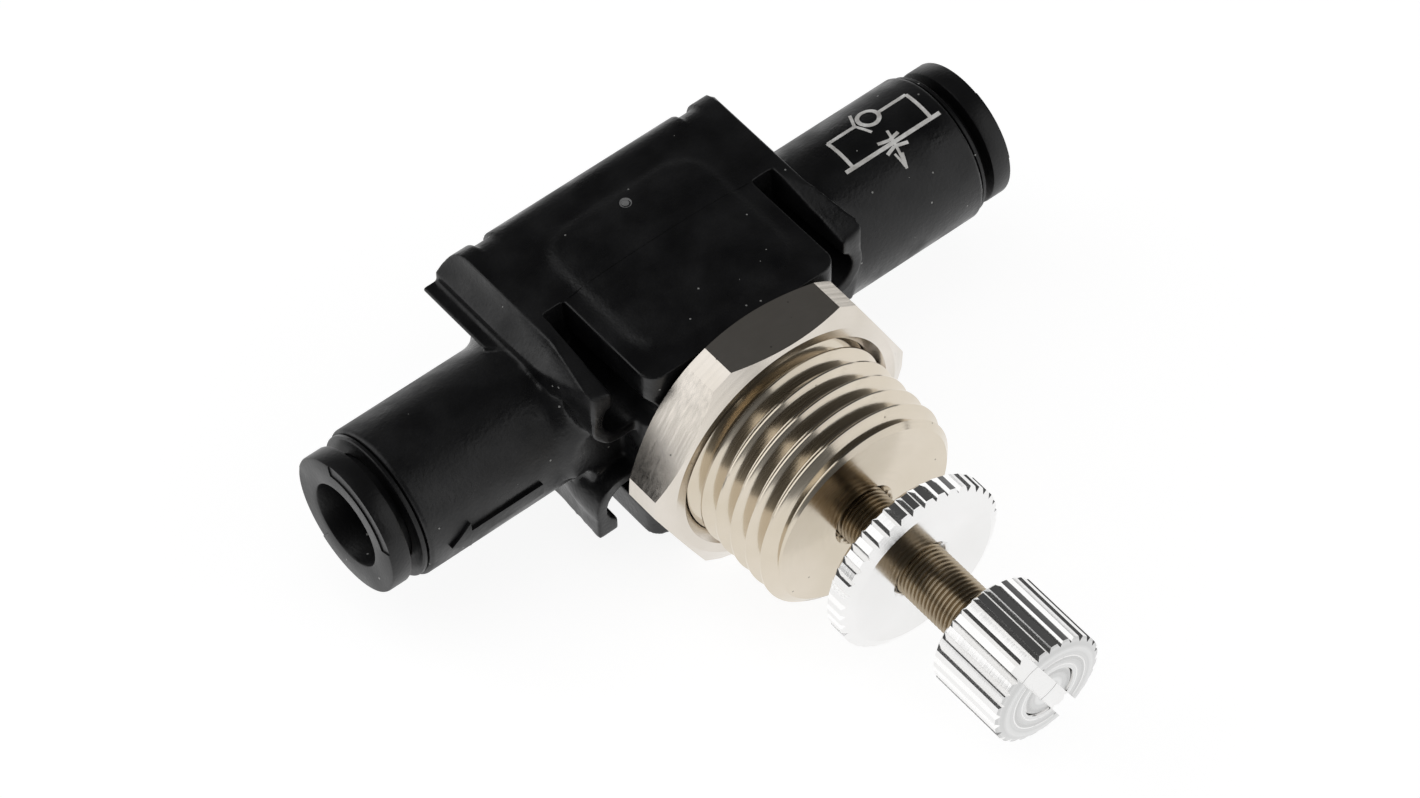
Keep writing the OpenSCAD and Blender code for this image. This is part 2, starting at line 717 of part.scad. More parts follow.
module left_collet() { collet(left); }
module left_retainer_ring() { retainer_ring(left); }
module left_grip_ring() { grip_ring(left); }
module left_seal_spacer() { seal_spacer(left); }
module left_tube_seal() { tube_seal(left); }
module right_collet() { collet(right); }
module right_retainer_ring() { retainer_ring(right); }
module right_grip_ring() { grip_ring(right); }
module right_seal_spacer() { seal_spacer(right); }
module right_tube_seal() { tube_seal(right); }

body();
threaded_bushing();
bushing_o_ring();
panel_nut();
adjusting_screw();
screw_o_ring();
lock_nut();
knob();
seat_cartridge();
cartridge_o_ring();
check_lip_seal();
left_collet();
left_retainer_ring();
left_grip_ring();
left_seal_spacer();
left_tube_seal();
right_collet();
right_retainer_ring();
right_grip_ring();
right_seal_spacer();
right_tube_seal();
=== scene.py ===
# %% [markdown]
# # A panel-mounted flow control valve
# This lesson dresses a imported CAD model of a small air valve: a black moulded body with two push-in
# tube fittings, and a metal stem with a panel nut, a lock nut and a fluted knob. The CAD model is the
# frame. It already has the right sizes and joints, so every piece made here is laid over the CAD piece
# it stands for. Blender works in metres, and the sizes below are typed in millimetres.

# %% Load the frame
import math
import bmesh
import bpy
from mathutils import Matrix, Vector


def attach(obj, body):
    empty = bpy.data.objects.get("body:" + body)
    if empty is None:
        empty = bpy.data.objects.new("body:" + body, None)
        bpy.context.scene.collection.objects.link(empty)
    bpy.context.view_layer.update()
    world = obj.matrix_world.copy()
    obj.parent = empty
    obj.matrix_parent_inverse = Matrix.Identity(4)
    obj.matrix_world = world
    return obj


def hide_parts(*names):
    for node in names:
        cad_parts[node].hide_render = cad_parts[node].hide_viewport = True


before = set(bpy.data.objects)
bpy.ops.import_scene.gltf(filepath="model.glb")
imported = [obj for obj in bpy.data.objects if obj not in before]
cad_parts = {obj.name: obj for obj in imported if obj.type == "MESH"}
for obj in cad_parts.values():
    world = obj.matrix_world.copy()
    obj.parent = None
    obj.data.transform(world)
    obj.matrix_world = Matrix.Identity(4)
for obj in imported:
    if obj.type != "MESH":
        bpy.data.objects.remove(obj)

scene = bpy.context.scene
MM = 0.001
WELD = 0.0005 * MM
CUT_SNAP = 0.0002 * MM
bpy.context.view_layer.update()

# %% [markdown]
# ## Working by hand, in code
# Blender's operators act on whatever is selected, so each step first selects one piece and nothing
# else. These small helpers do what a hand does: pick a piece, step into edit mode, pick the faces or
# edges that lie in a certain place, and apply a modifier for good.

# %% Helpers for selecting
def deselect():
    """In object mode, select nothing."""
    bpy.ops.object.select_all(action="DESELECT")


def only(piece):
    """Select this piece alone and make it the active one."""
    deselect()
    piece.select_set(True)
    bpy.context.view_layer.objects.active = piece


def edit(piece):
    """Step into edit mode on this piece alone."""
    only(piece)
    bpy.ops.object.mode_set(mode="EDIT")


def everything():
    """In edit mode, select all there is."""
    bpy.ops.mesh.select_all(action="SELECT")


def edit_all(piece):
    """Step into edit mode on this piece with everything selected."""
    edit(piece)
    everything()


def done():
    """Step back out to object mode."""
    bpy.ops.object.mode_set(mode="OBJECT")


def pick(piece, kind, test):
    """In edit mode, select the vertices, edges or faces that pass a test, and count them."""
    bpy.ops.mesh.select_mode(type=kind)
    bpy.ops.mesh.select_all(action="DESELECT")
    shape = bmesh.from_edit_mesh(piece.data)
    parts = {"VERT": shape.verts, "EDGE": shape.edges, "FACE": shape.faces}[kind]
    chosen = [part for part in parts if test(part)]
    for part in chosen:
        part.select_set(True)
    bmesh.update_edit_mesh(piece.data)
    return len(chosen)


# %% Helpers for finishing
def fresh(name):
    """Name the shape that was just added and write its place into its mesh."""
    piece = bpy.context.object
    piece.name = name
    bpy.ops.object.transform_apply(location=True, rotation=True, scale=True)
    return piece


def apply(piece, kind, **settings):
    """Add a modifier with these settings and apply it."""
    modifier = piece.modifiers.new(kind.lower(), kind)
    for name, value in settings.items():
        setattr(modifier, name, value)
    only(piece)
    bpy.ops.object.modifier_apply(modifier=modifier.name)


def combine(piece, other, how):
    """Join, cut or keep what is common with another solid, which is then deleted."""
    apply(piece, "BOOLEAN", object=other, operation=how, solver="EXACT")
    bpy.data.objects.remove(other, do_unlink=True)


def smooth(piece, degrees):
    """Smooth shading, kept crisp over edges sharper than this."""
    only(piece)
    bpy.ops.object.shade_smooth_by_angle(angle=math.radians(degrees))


def count(piece):
    """Triangles in a piece, for the printed notes."""
    return sum(len(face.vertices) - 2 for face in piece.data.polygons)


def facing_out(piece):
    """Merge doubled vertices, drop loose edges, then turn every face outwards."""
    edit_all(piece)
    bpy.ops.mesh.remove_doubles(threshold=WELD)
    bpy.ops.mesh.delete_loose(use_verts=True, use_edges=True, use_faces=False)
    everything()
    bpy.ops.mesh.normals_make_consistent(inside=False)
    done()


# %% [markdown]
# ## Turning on a lathe
# Nearly every metal piece here was turned, and so was the mould for the collets. A lathe is easy to
# copy: start from one vertex, extrude it along the outline of the cross-section, and spin that line
# round the axis. The stem's axis is Y, through the origin. The tubes run along X, RUN_Y behind the
# panel face.

# %% Helpers for turned shapes
RUN_Y = 8.9


def chain(name, points):
    """One vertex, extruded from point to point, all in millimetres."""
    deselect()
    bpy.ops.mesh.primitive_plane_add(size=MM, location=(0, 0, 0))
    piece = bpy.context.object
    piece.name = name
    edit_all(piece)
    bpy.ops.mesh.merge(type="CENTER")
    bpy.ops.mesh.select_mode(type="VERT")
    everything()
    bpy.ops.transform.translate(value=Vector(points[0]) * MM)
    for here, there in zip(points, points[1:]):
        step = (Vector(there) - Vector(here)) * MM
        bpy.ops.mesh.extrude_vertices_move(TRANSFORM_OT_translate={"value": step})
    done()
    return piece


def turned(name, section, axis="Y", steps=144):
    """Spin a closed cross-section of (radius, place along the axis), in millimetres."""
    ring = section + section[:1]
    if axis == "Y":
        points = [(0, place, radius) for radius, place in ring]
        centre = (0, 0, 0)
        direction = (0, 1, 0)
    else:
        points = [(place, RUN_Y, radius) for radius, place in ring]
        centre = (0, RUN_Y * MM, 0)
        direction = (1, 0, 0)
    piece = chain(name, points)
    edit_all(piece)
    bpy.ops.mesh.spin(steps=steps, angle=math.tau, center=centre, axis=direction)
    done()
    facing_out(piece)
    return piece


# %% [markdown]
# A thread climbs, so stacked rings would not do. The outline of one turn is swept along the axis by the
# Screw modifier, and the ends, which run out at a slant, are cut square and closed.

# %% Helper for threads
def threaded_rod(name, radius, outline, pitch, first_y, turns, y_low, y_high, steps=96):
    """A solid right-hand thread along Y. The outline of one turn is (depth under the crest, place)."""
    piece = chain(name, [(0, first_y - place, radius - depth) for depth, place in outline])
    apply(piece, "SCREW", axis="Y", angle=-math.tau, screw_offset=-pitch * MM, steps=steps,
          render_steps=steps, iterations=turns, use_merge_vertices=True, merge_threshold=WELD,
          use_normal_calculate=True)
    edit_all(piece)
    bpy.ops.mesh.remove_doubles(threshold=WELD)
    for y, way in ((y_low, {"clear_inner": True}), (y_high, {"clear_outer": True})):
        everything()
        bpy.ops.mesh.bisect(plane_co=(0, y * MM, 0), plane_no=(0, 1, 0), use_fill=True,
                            threshold=CUT_SNAP, **way)
    done()
    facing_out(piece)
    return piece


# %% [markdown]
# ## Finishes shared by several materials
# Three effects turn up on more than one material, so each is a node group. Moulded plastic has a fine
# spark-eroded grain with faint cloudy patches. Handled parts carry sparse specks. Turned metal has fine
# rings round its axis, which come from a noise read by radius and by place along the axis.

# %% Helpers for nodes
FLOAT = "NodeSocketFloat"


def new_group(name, inputs, outputs):
    """An empty shader group with named inputs, each with its default, and named outputs."""
    group = bpy.data.node_groups.new(name, "ShaderNodeTree")
    for label, default in inputs.items():
        socket = group.interface.new_socket(label, in_out="INPUT", socket_type=FLOAT)
        socket.default_value = default
    for label in outputs:
        group.interface.new_socket(label, in_out="OUTPUT", socket_type=FLOAT)
    return group, group.nodes.new("NodeGroupInput"), group.nodes.new("NodeGroupOutput")


def node(tree, kind, **settings):
    """Add a node and set its properties."""
    made = tree.nodes.new(kind)
    for name, value in settings.items():
        setattr(made, name, value)
    return made


def noise(tree, detail):
    """A noise in space with this much detail."""
    made = node(tree, "ShaderNodeTexNoise", noise_dimensions="3D")
    made.inputs["Detail"].default_value = detail
    return made


def link(tree, *pairs):
    """Join sockets, given as (from, to)."""
    for source, target in pairs:
        tree.links.new(source, target)


def maths(tree, operation, first, second):
    """A Math node whose inputs are sockets or numbers."""
    made = node(tree, "ShaderNodeMath", operation=operation)
    for socket, value in zip(made.inputs, (first, second)):
        if isinstance(value, (int, float)):
            socket.default_value = value
        else:
            tree.links.new(value, socket)
    return made.outputs[0]


# %% Node group: moulded grain
grain_group, grain_in, grain_out = new_group(
    "moulded_grain", {"Grain Scale": 7000.0, "Cloud Scale": 260.0}, ["Height", "Cloud"])
place = node(grain_group, "ShaderNodeTexCoord")
fine = noise(grain_group, 2.5)
cloud = noise(grain_group, 4.0)
link(grain_group,
     (place.outputs["Object"], fine.inputs["Vector"]),
     (place.outputs["Object"], cloud.inputs["Vector"]),
     (grain_in.outputs["Grain Scale"], fine.inputs["Scale"]),
     (grain_in.outputs["Cloud Scale"], cloud.inputs["Scale"]),
     (fine.outputs[0], grain_out.inputs["Height"]),
     (cloud.outputs[0], grain_out.inputs["Cloud"]))
print("Group:", grain_group.name)

# %% Node group: sparse specks
speck_group, speck_in, speck_out = new_group(
    "sparse_specks", {"Scale": 1100.0, "Size": 0.12, "Share": 0.10}, ["Mask"])
place = node(speck_group, "ShaderNodeTexCoord")
cells = node(speck_group, "ShaderNodeTexVoronoi", feature="F1")
spread = node(speck_group, "ShaderNodeSeparateColor")
link(speck_group,
     (place.outputs["Object"], cells.inputs["Vector"]),
     (speck_in.outputs["Scale"], cells.inputs["Scale"]),
     (cells.outputs["Color"], spread.inputs["Color"]))
near = maths(speck_group, "LESS_THAN", cells.outputs["Distance"], speck_in.outputs["Size"])
chosen = maths(speck_group, "LESS_THAN", spread.outputs[0], speck_in.outputs["Share"])
link(speck_group, (maths(speck_group, "MULTIPLY", near, chosen), speck_out.inputs["Mask"]))
print("Group:", speck_group.name)

# %% Node group: turned rings
ring_group, ring_in, ring_out = new_group(
    "turned_rings", {"Rings": 9000.0, "Streaks": 30.0}, ["Height", "Streak"])
place = node(ring_group, "ShaderNodeTexCoord")
split = node(ring_group, "ShaderNodeSeparateXYZ")
link(ring_group, (place.outputs["Object"], split.inputs[0]))
x_squared = maths(ring_group, "MULTIPLY", split.outputs["X"], split.outputs["X"])
z_squared = maths(ring_group, "MULTIPLY", split.outputs["Z"], split.outputs["Z"])
radius = maths(ring_group, "SQRT", maths(ring_group, "ADD", x_squared, z_squared), 0.0)
turned_place = node(ring_group, "ShaderNodeCombineXYZ")
rings = noise(ring_group, 2.0)
streaks = noise(ring_group, 5.0)
link(ring_group,
     (radius, turned_place.inputs["X"]),
     (split.outputs["Y"], turned_place.inputs["Y"]),
     (turned_place.outputs[0], rings.inputs["Vector"]),
     (ring_in.outputs["Rings"], rings.inputs["Scale"]),
     (place.outputs["Object"], streaks.inputs["Vector"]),
     (ring_in.outputs["Streaks"], streaks.inputs["Scale"]),
     (rings.outputs[0], ring_out.inputs["Height"]),
     (streaks.outputs[0], ring_out.inputs["Streak"]))
print("Group:", ring_group.name)

# %% [markdown]
# ## Plastic, metal and rubber
# A moulded plastic gets its colour from the cloud, its gloss from the same cloud in another range, and
# its bump from the grain. A plated metal is fully metallic, so its colour is the colour of what it
# mirrors. The turned rings nudge the normal and the roughness. On the knob's end they are also painted
# into the colour as pale ring highlights over a painted darker grey.

# %% Helpers for materials
NOISE_LOW = 0.3
NOISE_HIGH = 0.7
GRAIN_HEIGHT = 0.04 * MM
RING_HEIGHT = 0.02 * MM
STREAK_SCALE = 180.0
NICK_SHADE = 0.45
NICK_SIZE = 0.10
NICK_SCALE = 1500.0


def blank(name):
    """A material with a Principled shader, and the tree to add to."""
    made = bpy.data.materials.new(name)
    made.use_nodes = True
    tree = made.node_tree
    tree.nodes.clear()
    shader = node(tree, "ShaderNodeBsdfPrincipled")
    output = node(tree, "ShaderNodeOutputMaterial")
    link(tree, (shader.outputs[0], output.inputs["Surface"]))
    return made, tree, shader


def placed(tree, group, **values):
    """One of the shared groups, with its own values."""
    made = node(tree, "ShaderNodeGroup", node_tree=group)
    for name, value in values.items():
        made.inputs[name.replace("_", " ")].default_value = value
    return made


def ramp(tree, source, low, high):
    """A colour that runs from low to high as a noise does."""
    made = node(tree, "ShaderNodeValToRGB")
    stops = ((NOISE_LOW, low), (NOISE_HIGH, high))
    for element, (position, colour) in zip(made.color_ramp.elements, stops):
        element.position = position
        element.color = (*colour, 1)
    tree.links.new(source, made.inputs[0])
    return made.outputs[0]


def spread_to(tree, source, low, high):
    """A noise mapped to a new range."""
    made = node(tree, "ShaderNodeMapRange")
    for socket, value in zip(made.inputs[1:5], (NOISE_LOW, NOISE_HIGH, low, high)):
        socket.default_value = value
    tree.links.new(source, made.inputs[0])
    return made.outputs[0]


def bumped(tree, shader, height, strength, distance):
    """Feed a height to the shader's normal."""
    made = node(tree, "ShaderNodeBump")
    made.inputs["Strength"].default_value = strength
    made.inputs["Distance"].default_value = distance
    link(tree, (height, made.inputs["Height"]), (made.outputs[0], shader.inputs["Normal"]))


def speckled(tree, colour, speck, **values):
    """The colour with specks of another one laid over it."""
    dots = placed(tree, speck_group, **values)
    mix = node(tree, "ShaderNodeMix", data_type="RGBA")
    mix.inputs["B"].default_value = (*speck, 1)
    link(tree, (dots.outputs["Mask"], mix.inputs["Factor"]), (colour, mix.inputs["A"]))
    return mix.outputs["Result"]


# %% Material makers
def moulded(name, dark, light, rough, grain, bump,
            speck=None, share=0.06, speck_size=0.12, level=0.5, cloud=260.0):
    """Moulded plastic or rubber: cloudy colour, grain and, if given, pale specks."""
    made, tree, shader = blank(name)
    texture = placed(tree, grain_group, Grain_Scale=grain, Cloud_Scale=cloud)
    colour = ramp(tree, texture.outputs["Cloud"], dark, light)
    if speck:
        colour = speckled(tree, colour, speck, Share=share, Size=speck_size)
    gloss = spread_to(tree, texture.outputs["Cloud"], *rough)
    link(tree, (colour, shader.inputs["Base Color"]), (gloss, shader.inputs["Roughness"]))
    shader.inputs["Specular IOR Level"].default_value = level
    bumped(tree, shader, texture.outputs["Height"], bump, GRAIN_HEIGHT)
    return made


def plated(name, dark, light, rough, rings, bump, painted_ring_glints=False, nicked=0.0):
    """Turned and plated metal. Its colour follows soft streaks, or on the knob's end the rings, painted in
    as pale ring highlights.
    """
    made, tree, shader = blank(name)
    texture = placed(tree, ring_group, Rings=rings, Streaks=STREAK_SCALE)
    # On the knob's end the rings drive the colour: painted ring highlights over a painted darker grey.
    colour = ramp(tree, texture.outputs["Height" if painted_ring_glints else "Streak"], dark, light)
    if nicked:
        nick = [value * NICK_SHADE for value in dark]
        colour = speckled(tree, colour, nick, Share=nicked, Size=NICK_SIZE, Scale=NICK_SCALE)
    gloss = spread_to(tree, texture.outputs["Height"], *rough)
    link(tree, (colour, shader.inputs["Base Color"]), (gloss, shader.inputs["Roughness"]))
    shader.inputs["Metallic"].default_value = 1.0
    bumped(tree, shader, texture.outputs["Height"], bump, RING_HEIGHT)
    return made


# %% The plastics and the print
housing_black = moulded(
    "housing_black", (0.0036, 0.0036, 0.0041), (0.0074, 0.0075, 0.0082), rough=(0.20, 0.56), grain=3600.0,
    bump=0.60, speck=(0.30, 0.30, 0.29), share=0.26, speck_size=0.08, level=0.42, cloud=340.0)
collet_black = moulded(
    "collet_black", (0.0030, 0.0030, 0.0033), (0.0056, 0.0056, 0.0061), rough=(0.30, 0.46), grain=4500.0,
    bump=0.45, speck=(0.34, 0.34, 0.33), share=0.16, speck_size=0.09, level=0.38)
gate_grey = moulded(
    "gate_grey", (0.02, 0.02, 0.02), (0.34, 0.34, 0.34), rough=(0.40, 0.60), grain=5000.0,
    bump=0.60, speck=(0.60, 0.60, 0.60), share=0.45, speck_size=0.30, level=0.4)
print_grey = moulded(
    "print_grey", (0.58, 0.56, 0.53), (0.98, 0.97, 0.95), rough=(0.55, 0.70), grain=9000.0,
    bump=0.20, cloud=1300.0)
spacer_white = moulded(
    "spacer_white", (0.55, 0.55, 0.52), (0.66, 0.66, 0.63), rough=(0.40, 0.52), grain=7000.0, bump=0.15)
seal_rubber = moulded(
    "seal_rubber", (0.01, 0.01, 0.01), (0.018, 0.018, 0.018), rough=(0.50, 0.65), grain=9000.0, bump=0.20)
print("Materials so far:", len(bpy.data.materials))

# %% The metals
bushing_nickel = plated(
    "bushing_nickel", (0.64, 0.57, 0.46), (0.71, 0.64, 0.54), rough=(0.11, 0.20), rings=7000.0,
    bump=0.08, nicked=0.05)
nut_nickel = plated(
    "nut_nickel", (0.66, 0.61, 0.54), (0.76, 0.71, 0.65), rough=(0.16, 0.26), rings=4000.0,
    bump=0.04, nicked=0.18)
knob_chrome = plated(
    "knob_chrome", (0.84, 0.835, 0.825), (0.89, 0.885, 0.88), rough=(0.10, 0.18), rings=8000.0, bump=0.05)
# Painted light: the knob's end is a darker grey than the chrome, with pale rings in its colour, as painted
# shade and painted ring highlights.
knob_end_painted_light = plated(
    "knob_end_painted_light", (0.50, 0.50, 0.495), (0.82, 0.82, 0.815), rough=(0.22, 0.36), rings=1500.0,
    bump=0.10, painted_ring_glints=True)
screw_bronze = plated(
    "screw_bronze", (0.30, 0.24, 0.165), (0.40, 0.33, 0.235), rough=(0.22, 0.32), rings=9000.0, bump=0.15)
cartridge_brass = plated(
    "cartridge_brass", (0.62, 0.45, 0.20), (0.74, 0.56, 0.28), rough=(0.20, 0.32), rings=8000.0, bump=0.15)
grip_steel = plated(
    "grip_steel", (0.55, 0.55, 0.55), (0.68, 0.68, 0.68), rough=(0.20, 0.30), rings=6000.0, bump=0.12)
print("Materials:", len(bpy.data.materials))


# %% [markdown]
# ## Handing a piece in
# A finished piece gets its material, rides on its CAD body, and hides the CAD nodes it stands for. One
# helper does all three.

# %% Helper for dressing a piece
def hand_in(piece, material, body, slot, *nodes):
    """Dress a piece, let it ride on a body and stand for its CAD nodes."""
    piece.data.materials.clear()
    piece.data.materials.append(material)
    if nodes:
        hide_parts(*nodes)
    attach(piece, body)
    print(piece.name, "on", body, count(piece), "triangles")


# %% [markdown]
# ## The moulded body
# The housing is one glass-filled moulding: a saddle block, two side flanges and two barrels. A moulding
# has no knife edges, and rounding a hundred edges of a CAD solid one by one is slow. Instead a copy of
# the CAD mesh is remeshed into small even faces and relaxed a little, which rounds every edge by about
# the same small radius.

# %% Copy the body's mesh
CAD_WELD = 0.002 * MM


def cad_copy(name, source):
    """A free copy of a CAD node's mesh, with its loose triangles merged."""
    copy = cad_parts[source].copy()
    copy.data = copy.data.copy()
    for key in list(copy.keys()):
        del copy[key]
    copy.parent = None
    copy.matrix_world = Matrix.Identity(4)
    copy.name = name
    scene.collection.objects.link(copy)
    edit_all(copy)
    bpy.ops.mesh.remove_doubles(threshold=CAD_WELD)
    done()
    bpy.ops.mesh.customdata_custom_splitnormals_clear()
    return copy


body_shell = cad_copy("body_shell", "body")
print("Body copy:", count(body_shell), "triangles")

# %% [markdown]
# In the photo the right-hand ledge stays hidden behind the block, so the end of that ledge is pressed
# flat at LEDGE_END. It is done on the coarse copy, before the remesh, so that the remesh closes it.

# %% Press the ledge flat and round the body
LEDGE_END = 11.9
LEDGE_Z = (4.95, 5.6)
LEDGE_OFF_RUN = 5.56
VOXEL = 0.14


def off_run(y, z):
    """How far a place, in millimetres, lies from the tubes' axis."""
    return math.hypot(y - RUN_Y, z)


def beyond_ledge(vert):
    """True for points of the right-hand ledge that would stand out behind the block."""
    behind = vert.co.y > RUN_Y * MM and off_run(vert.co.y / MM, vert.co.z / MM) > LEDGE_OFF_RUN
    return behind and vert.co.x > LEDGE_END * MM and LEDGE_Z[0] * MM < vert.co.z < LEDGE_Z[1] * MM


edit(body_shell)
ledge = pick(body_shell, "VERT", beyond_ledge)
bpy.ops.transform.resize(value=(0, 1, 1), center_override=(LEDGE_END * MM, 0, 0))
done()
body_shell.data.remesh_voxel_size = VOXEL * MM
body_shell.data.remesh_voxel_adaptivity = 0.0
only(body_shell)
bpy.ops.object.voxel_remesh()
apply(body_shell, "SMOOTH", factor=0.5, iterations=6)
print("Remeshed:", count(body_shell), "triangles, ledge points", ledge)

# %% [markdown]
# The CAD barrels are made of narrow flats, and the remesh keeps them. A barrel turned with many more
# steps serves as a gauge: the vertices of the barrels are drawn onto it, and it is then thrown away.
# Their roots, which curve softly into the block, are left out.

# %% Helpers for shaping some of the points
def apply_to(piece, test, kind, **settings):
    """Apply a modifier to the points that pass a test, and count them."""
    edit(piece)
    found = pick(piece, "VERT", test)
    bpy.ops.object.vertex_group_add()
    bpy.ops.object.vertex_group_assign()
    done()
    apply(piece, kind, vertex_group=piece.vertex_groups[0].name, **settings)
    piece.vertex_groups.clear()
    return found


def draw_onto(piece, gauge, test):
    """Draw the points that pass a test onto a gauge, which is then deleted."""
    found = apply_to(piece, test, "SHRINKWRAP", target=gauge)
    bpy.data.objects.remove(gauge, do_unlink=True)
    return found


# %% True up the barrels
BARREL_R = 5.5
SKIN_X = (13.2, 22.8)
SKIN_R = (5.3, 5.6)
END_FACE_R = 4.8
barrel_gauge = turned("barrel_gauge", [
    (4.62, -23.5), (5.36, -23.5), (BARREL_R, -23.32), (BARREL_R, 23.32), (5.36, 23.5), (4.62, 23.5)],
    axis="X", steps=720)


def on_barrel_skin(vert):
    """True for vertices of the two barrels' outer skin, chamfer and end face."""
    out = abs(vert.co.x) / MM
    off = off_run(vert.co.y / MM, vert.co.z / MM)
    on_side = SKIN_X[0] < out < SKIN_X[1] and SKIN_R[0] < off < SKIN_R[1]
    on_end = out >= SKIN_X[1] and off > END_FACE_R
    return on_side or on_end


print("Barrel points trued:", draw_onto(body_shell, barrel_gauge, on_barrel_skin))

# %% [markdown]
# The block's top carries a low raised pad with soft edges. It is shaped on the fine mesh: the pad's
# points are lifted a little, and then its border is relaxed until it runs out smoothly.

# %% Raise the pad
BLOCK_TOP = 8.2
PAD_Y = 7.7
PAD_HALF_X = 3.9
PAD_HALF_Y = 3.4
PAD_ROUND = 2.6
PAD_LIFT = 0.18
PAD_BORDER = 1.3


def off_pad(vert):
    """How far a point of the block's top lies outside the pad's rounded outline, in millimetres."""
    if vert.co.z <= BLOCK_TOP * MM:
        return math.inf
    across = abs(vert.co.x) / MM - PAD_HALF_X
    along = abs(vert.co.y / MM - PAD_Y) - PAD_HALF_Y
    return math.hypot(max(across, 0), max(along, 0)) - PAD_ROUND


edit(body_shell)
lifted = pick(body_shell, "VERT", lambda vert: off_pad(vert) < 0)
bpy.ops.transform.translate(value=(0, 0, PAD_LIFT * MM))
done()
relaxed = apply_to(body_shell, lambda vert: abs(off_pad(vert)) < PAD_BORDER,
                   "SMOOTH", factor=0.5, iterations=40)
print("Pad points lifted:", lifted, "and relaxed:", relaxed)

# %% [markdown]
# Four clip channels open at the fronts of the flanges. The remesh leaves their mouths a little ragged,
# so each is drawn onto a round gauge, as the barrels were. The flange fronts, their upper corners and
# the roots of the barrels are then relaxed, each by its own number of rounds.

# %% True up the channel mouths
CHANNEL_X = 8.77
CHANNEL_Z = 4.65
CHANNEL_R = 2.6
WALL_R = 2.45
MOUTH_X = (CHANNEL_X, 11.5)
MOUTH_Y = (1.5, 3.1)
MOUTH_Z = (1.95, CHANNEL_Z)


def in_box(point, *spans):
    """True for a point inside a box, given by its spans along X, Y and Z in millimetres."""
    return all(low * MM < place < high * MM for place, (low, high) in zip(point, spans))


def on_mouth(point):
    """True for points of the channel's mouth in the upper right-hand quarter."""
    off_axis = math.hypot(point.x / MM - CHANNEL_X, point.z / MM - CHANNEL_Z)
    return in_box(point, MOUTH_X, MOUTH_Y, MOUTH_Z) and off_axis > WALL_R


for side in (-1, 1):
    for level in (-1, 1):
        channel_gauge = turned("channel_gauge", [(CHANNEL_R, 1.0), (CHANNEL_R, 5.0)], steps=180)
        edit_all(channel_gauge)
        bpy.ops.transform.translate(value=(side * CHANNEL_X * MM, 0, level * CHANNEL_Z * MM))
        done()
        trued = draw_onto(body_shell, channel_gauge, lambda vert: on_mouth(
            Vector((vert.co.x * side, vert.co.y, vert.co.z * level))))
        print("Channel points trued:", trued)

# %% Relax the flange fronts and the roots
SOFT_REGIONS = [
    ("flange fronts", (7.5, 11.6), (1.2, 4.6), (-7.7, 7.7), 12),
    ("upper corners", (10.0, 11.8), (1.4, 3.6), (5.2, 7.9), 24),
    ("barrel roots", (10.5, 13.8), (2.4, 8.6), (0.0, 6.9), 20)]
for region, x_span, y_span, z_span, rounds in SOFT_REGIONS:
    relaxed = apply_to(body_shell, lambda vert: in_box(
        (abs(vert.co.x), vert.co.y, vert.co.z), x_span, y_span, z_span),
        "SMOOTH", factor=0.5, iterations=rounds)
    print("Relaxed the", region, "at", relaxed, "points")

# %% [markdown]
# The fine mesh is only needed where it is seen. The bores hold other pieces, so their faces are thinned
# out hard, and the whole body is then brought under a set number of triangles.

# %% Thin out what nobody sees
RUN_BORE_R = 4.9
RUN_BORE_END = 23.0
FRONT_BORE_R = 6.8
FRONT_BORE_Y = (0.4, 16.0)
BORE_RATIO = 0.06
MOST_TRIANGLES = 194000


def in_a_bore(face):
    """True for faces of the bores, where the other pieces sit."""
    centre = face.calc_center_median() / MM
    in_run = off_run(centre.y, centre.z) < RUN_BORE_R and abs(centre.x) < RUN_BORE_END
    off_stem = math.hypot(centre.x, centre.z)
    in_front_bore = off_stem < FRONT_BORE_R and FRONT_BORE_Y[0] < centre.y < FRONT_BORE_Y[1]
    return in_run or in_front_bore


edit(body_shell)
pick(body_shell, "FACE", in_a_bore)
bpy.ops.mesh.decimate(ratio=BORE_RATIO)
done()
print("Bores thinned:", count(body_shell), "triangles")
apply(body_shell, "DECIMATE", ratio=min(1.0, MOST_TRIANGLES / count(body_shell)))
only(body_shell)
bpy.ops.object.shade_smooth()
hand_in(body_shell, housing_black, "housing", "housing_plastic", "body")

# %% [markdown]
# ## Retainers and collets
# A push-in fitting ends in a retainer ring pressed into the barrel and a release collet that slides in
# it. Both are turned once for the right-hand port. The left-hand pair is the same shape turned half a
# turn about an upright axis through the tubes, so it is copied and rotated, each copy with its own mesh.

# %% Turn the right-hand retainer and collet
RETAINER_SECTION = [
    (4.12, 20.5), (4.55, 20.5), (4.55, 23.5), (4.95, 23.5), (4.95, 23.6), (5.21, 23.6), (5.28, 23.65),
    (5.28, 23.86), (5.22, 23.93), (5.12, 23.95), (4.1, 23.95), (4.0, 23.92), (3.9, 23.82), (3.9, 21.65),
    (4.12, 21.65)]
COLLET_SECTION = [
    (3.1, 21.2), (4.07, 21.2), (4.07, 21.6), (3.85, 21.6), (3.85, 24.75), (4.95, 24.75), (5.06, 24.79),
    (5.1, 24.9), (5.1, 26.16), (5.06, 26.26), (4.96, 26.3), (3.24, 26.3), (3.15, 26.27), (3.1, 26.18)]
retainer = turned("right_retainer", RETAINER_SECTION, axis="X")
collet = turned("right_collet_button", COLLET_SECTION, axis="X")
print("Turned:", retainer.name, collet.name)

# %% [markdown]
# The collet's face has two shallow crescents, where a finger or a tool presses it in. Each is cut with a
# small sector, made by spinning an oblong section part of the way round and closing its two ends. Each
# crescent is typed as two angles, from +Y towards +Z, and the radius of its inner border.

# %% Press two crescents into the collet's face
CRESCENTS = [(19, 106, 4.25), (165, 235, 3.65)]
CRESCENT_FLOOR = 26.2
CUTTER_END = 26.5
CUTTER_R = 5.3


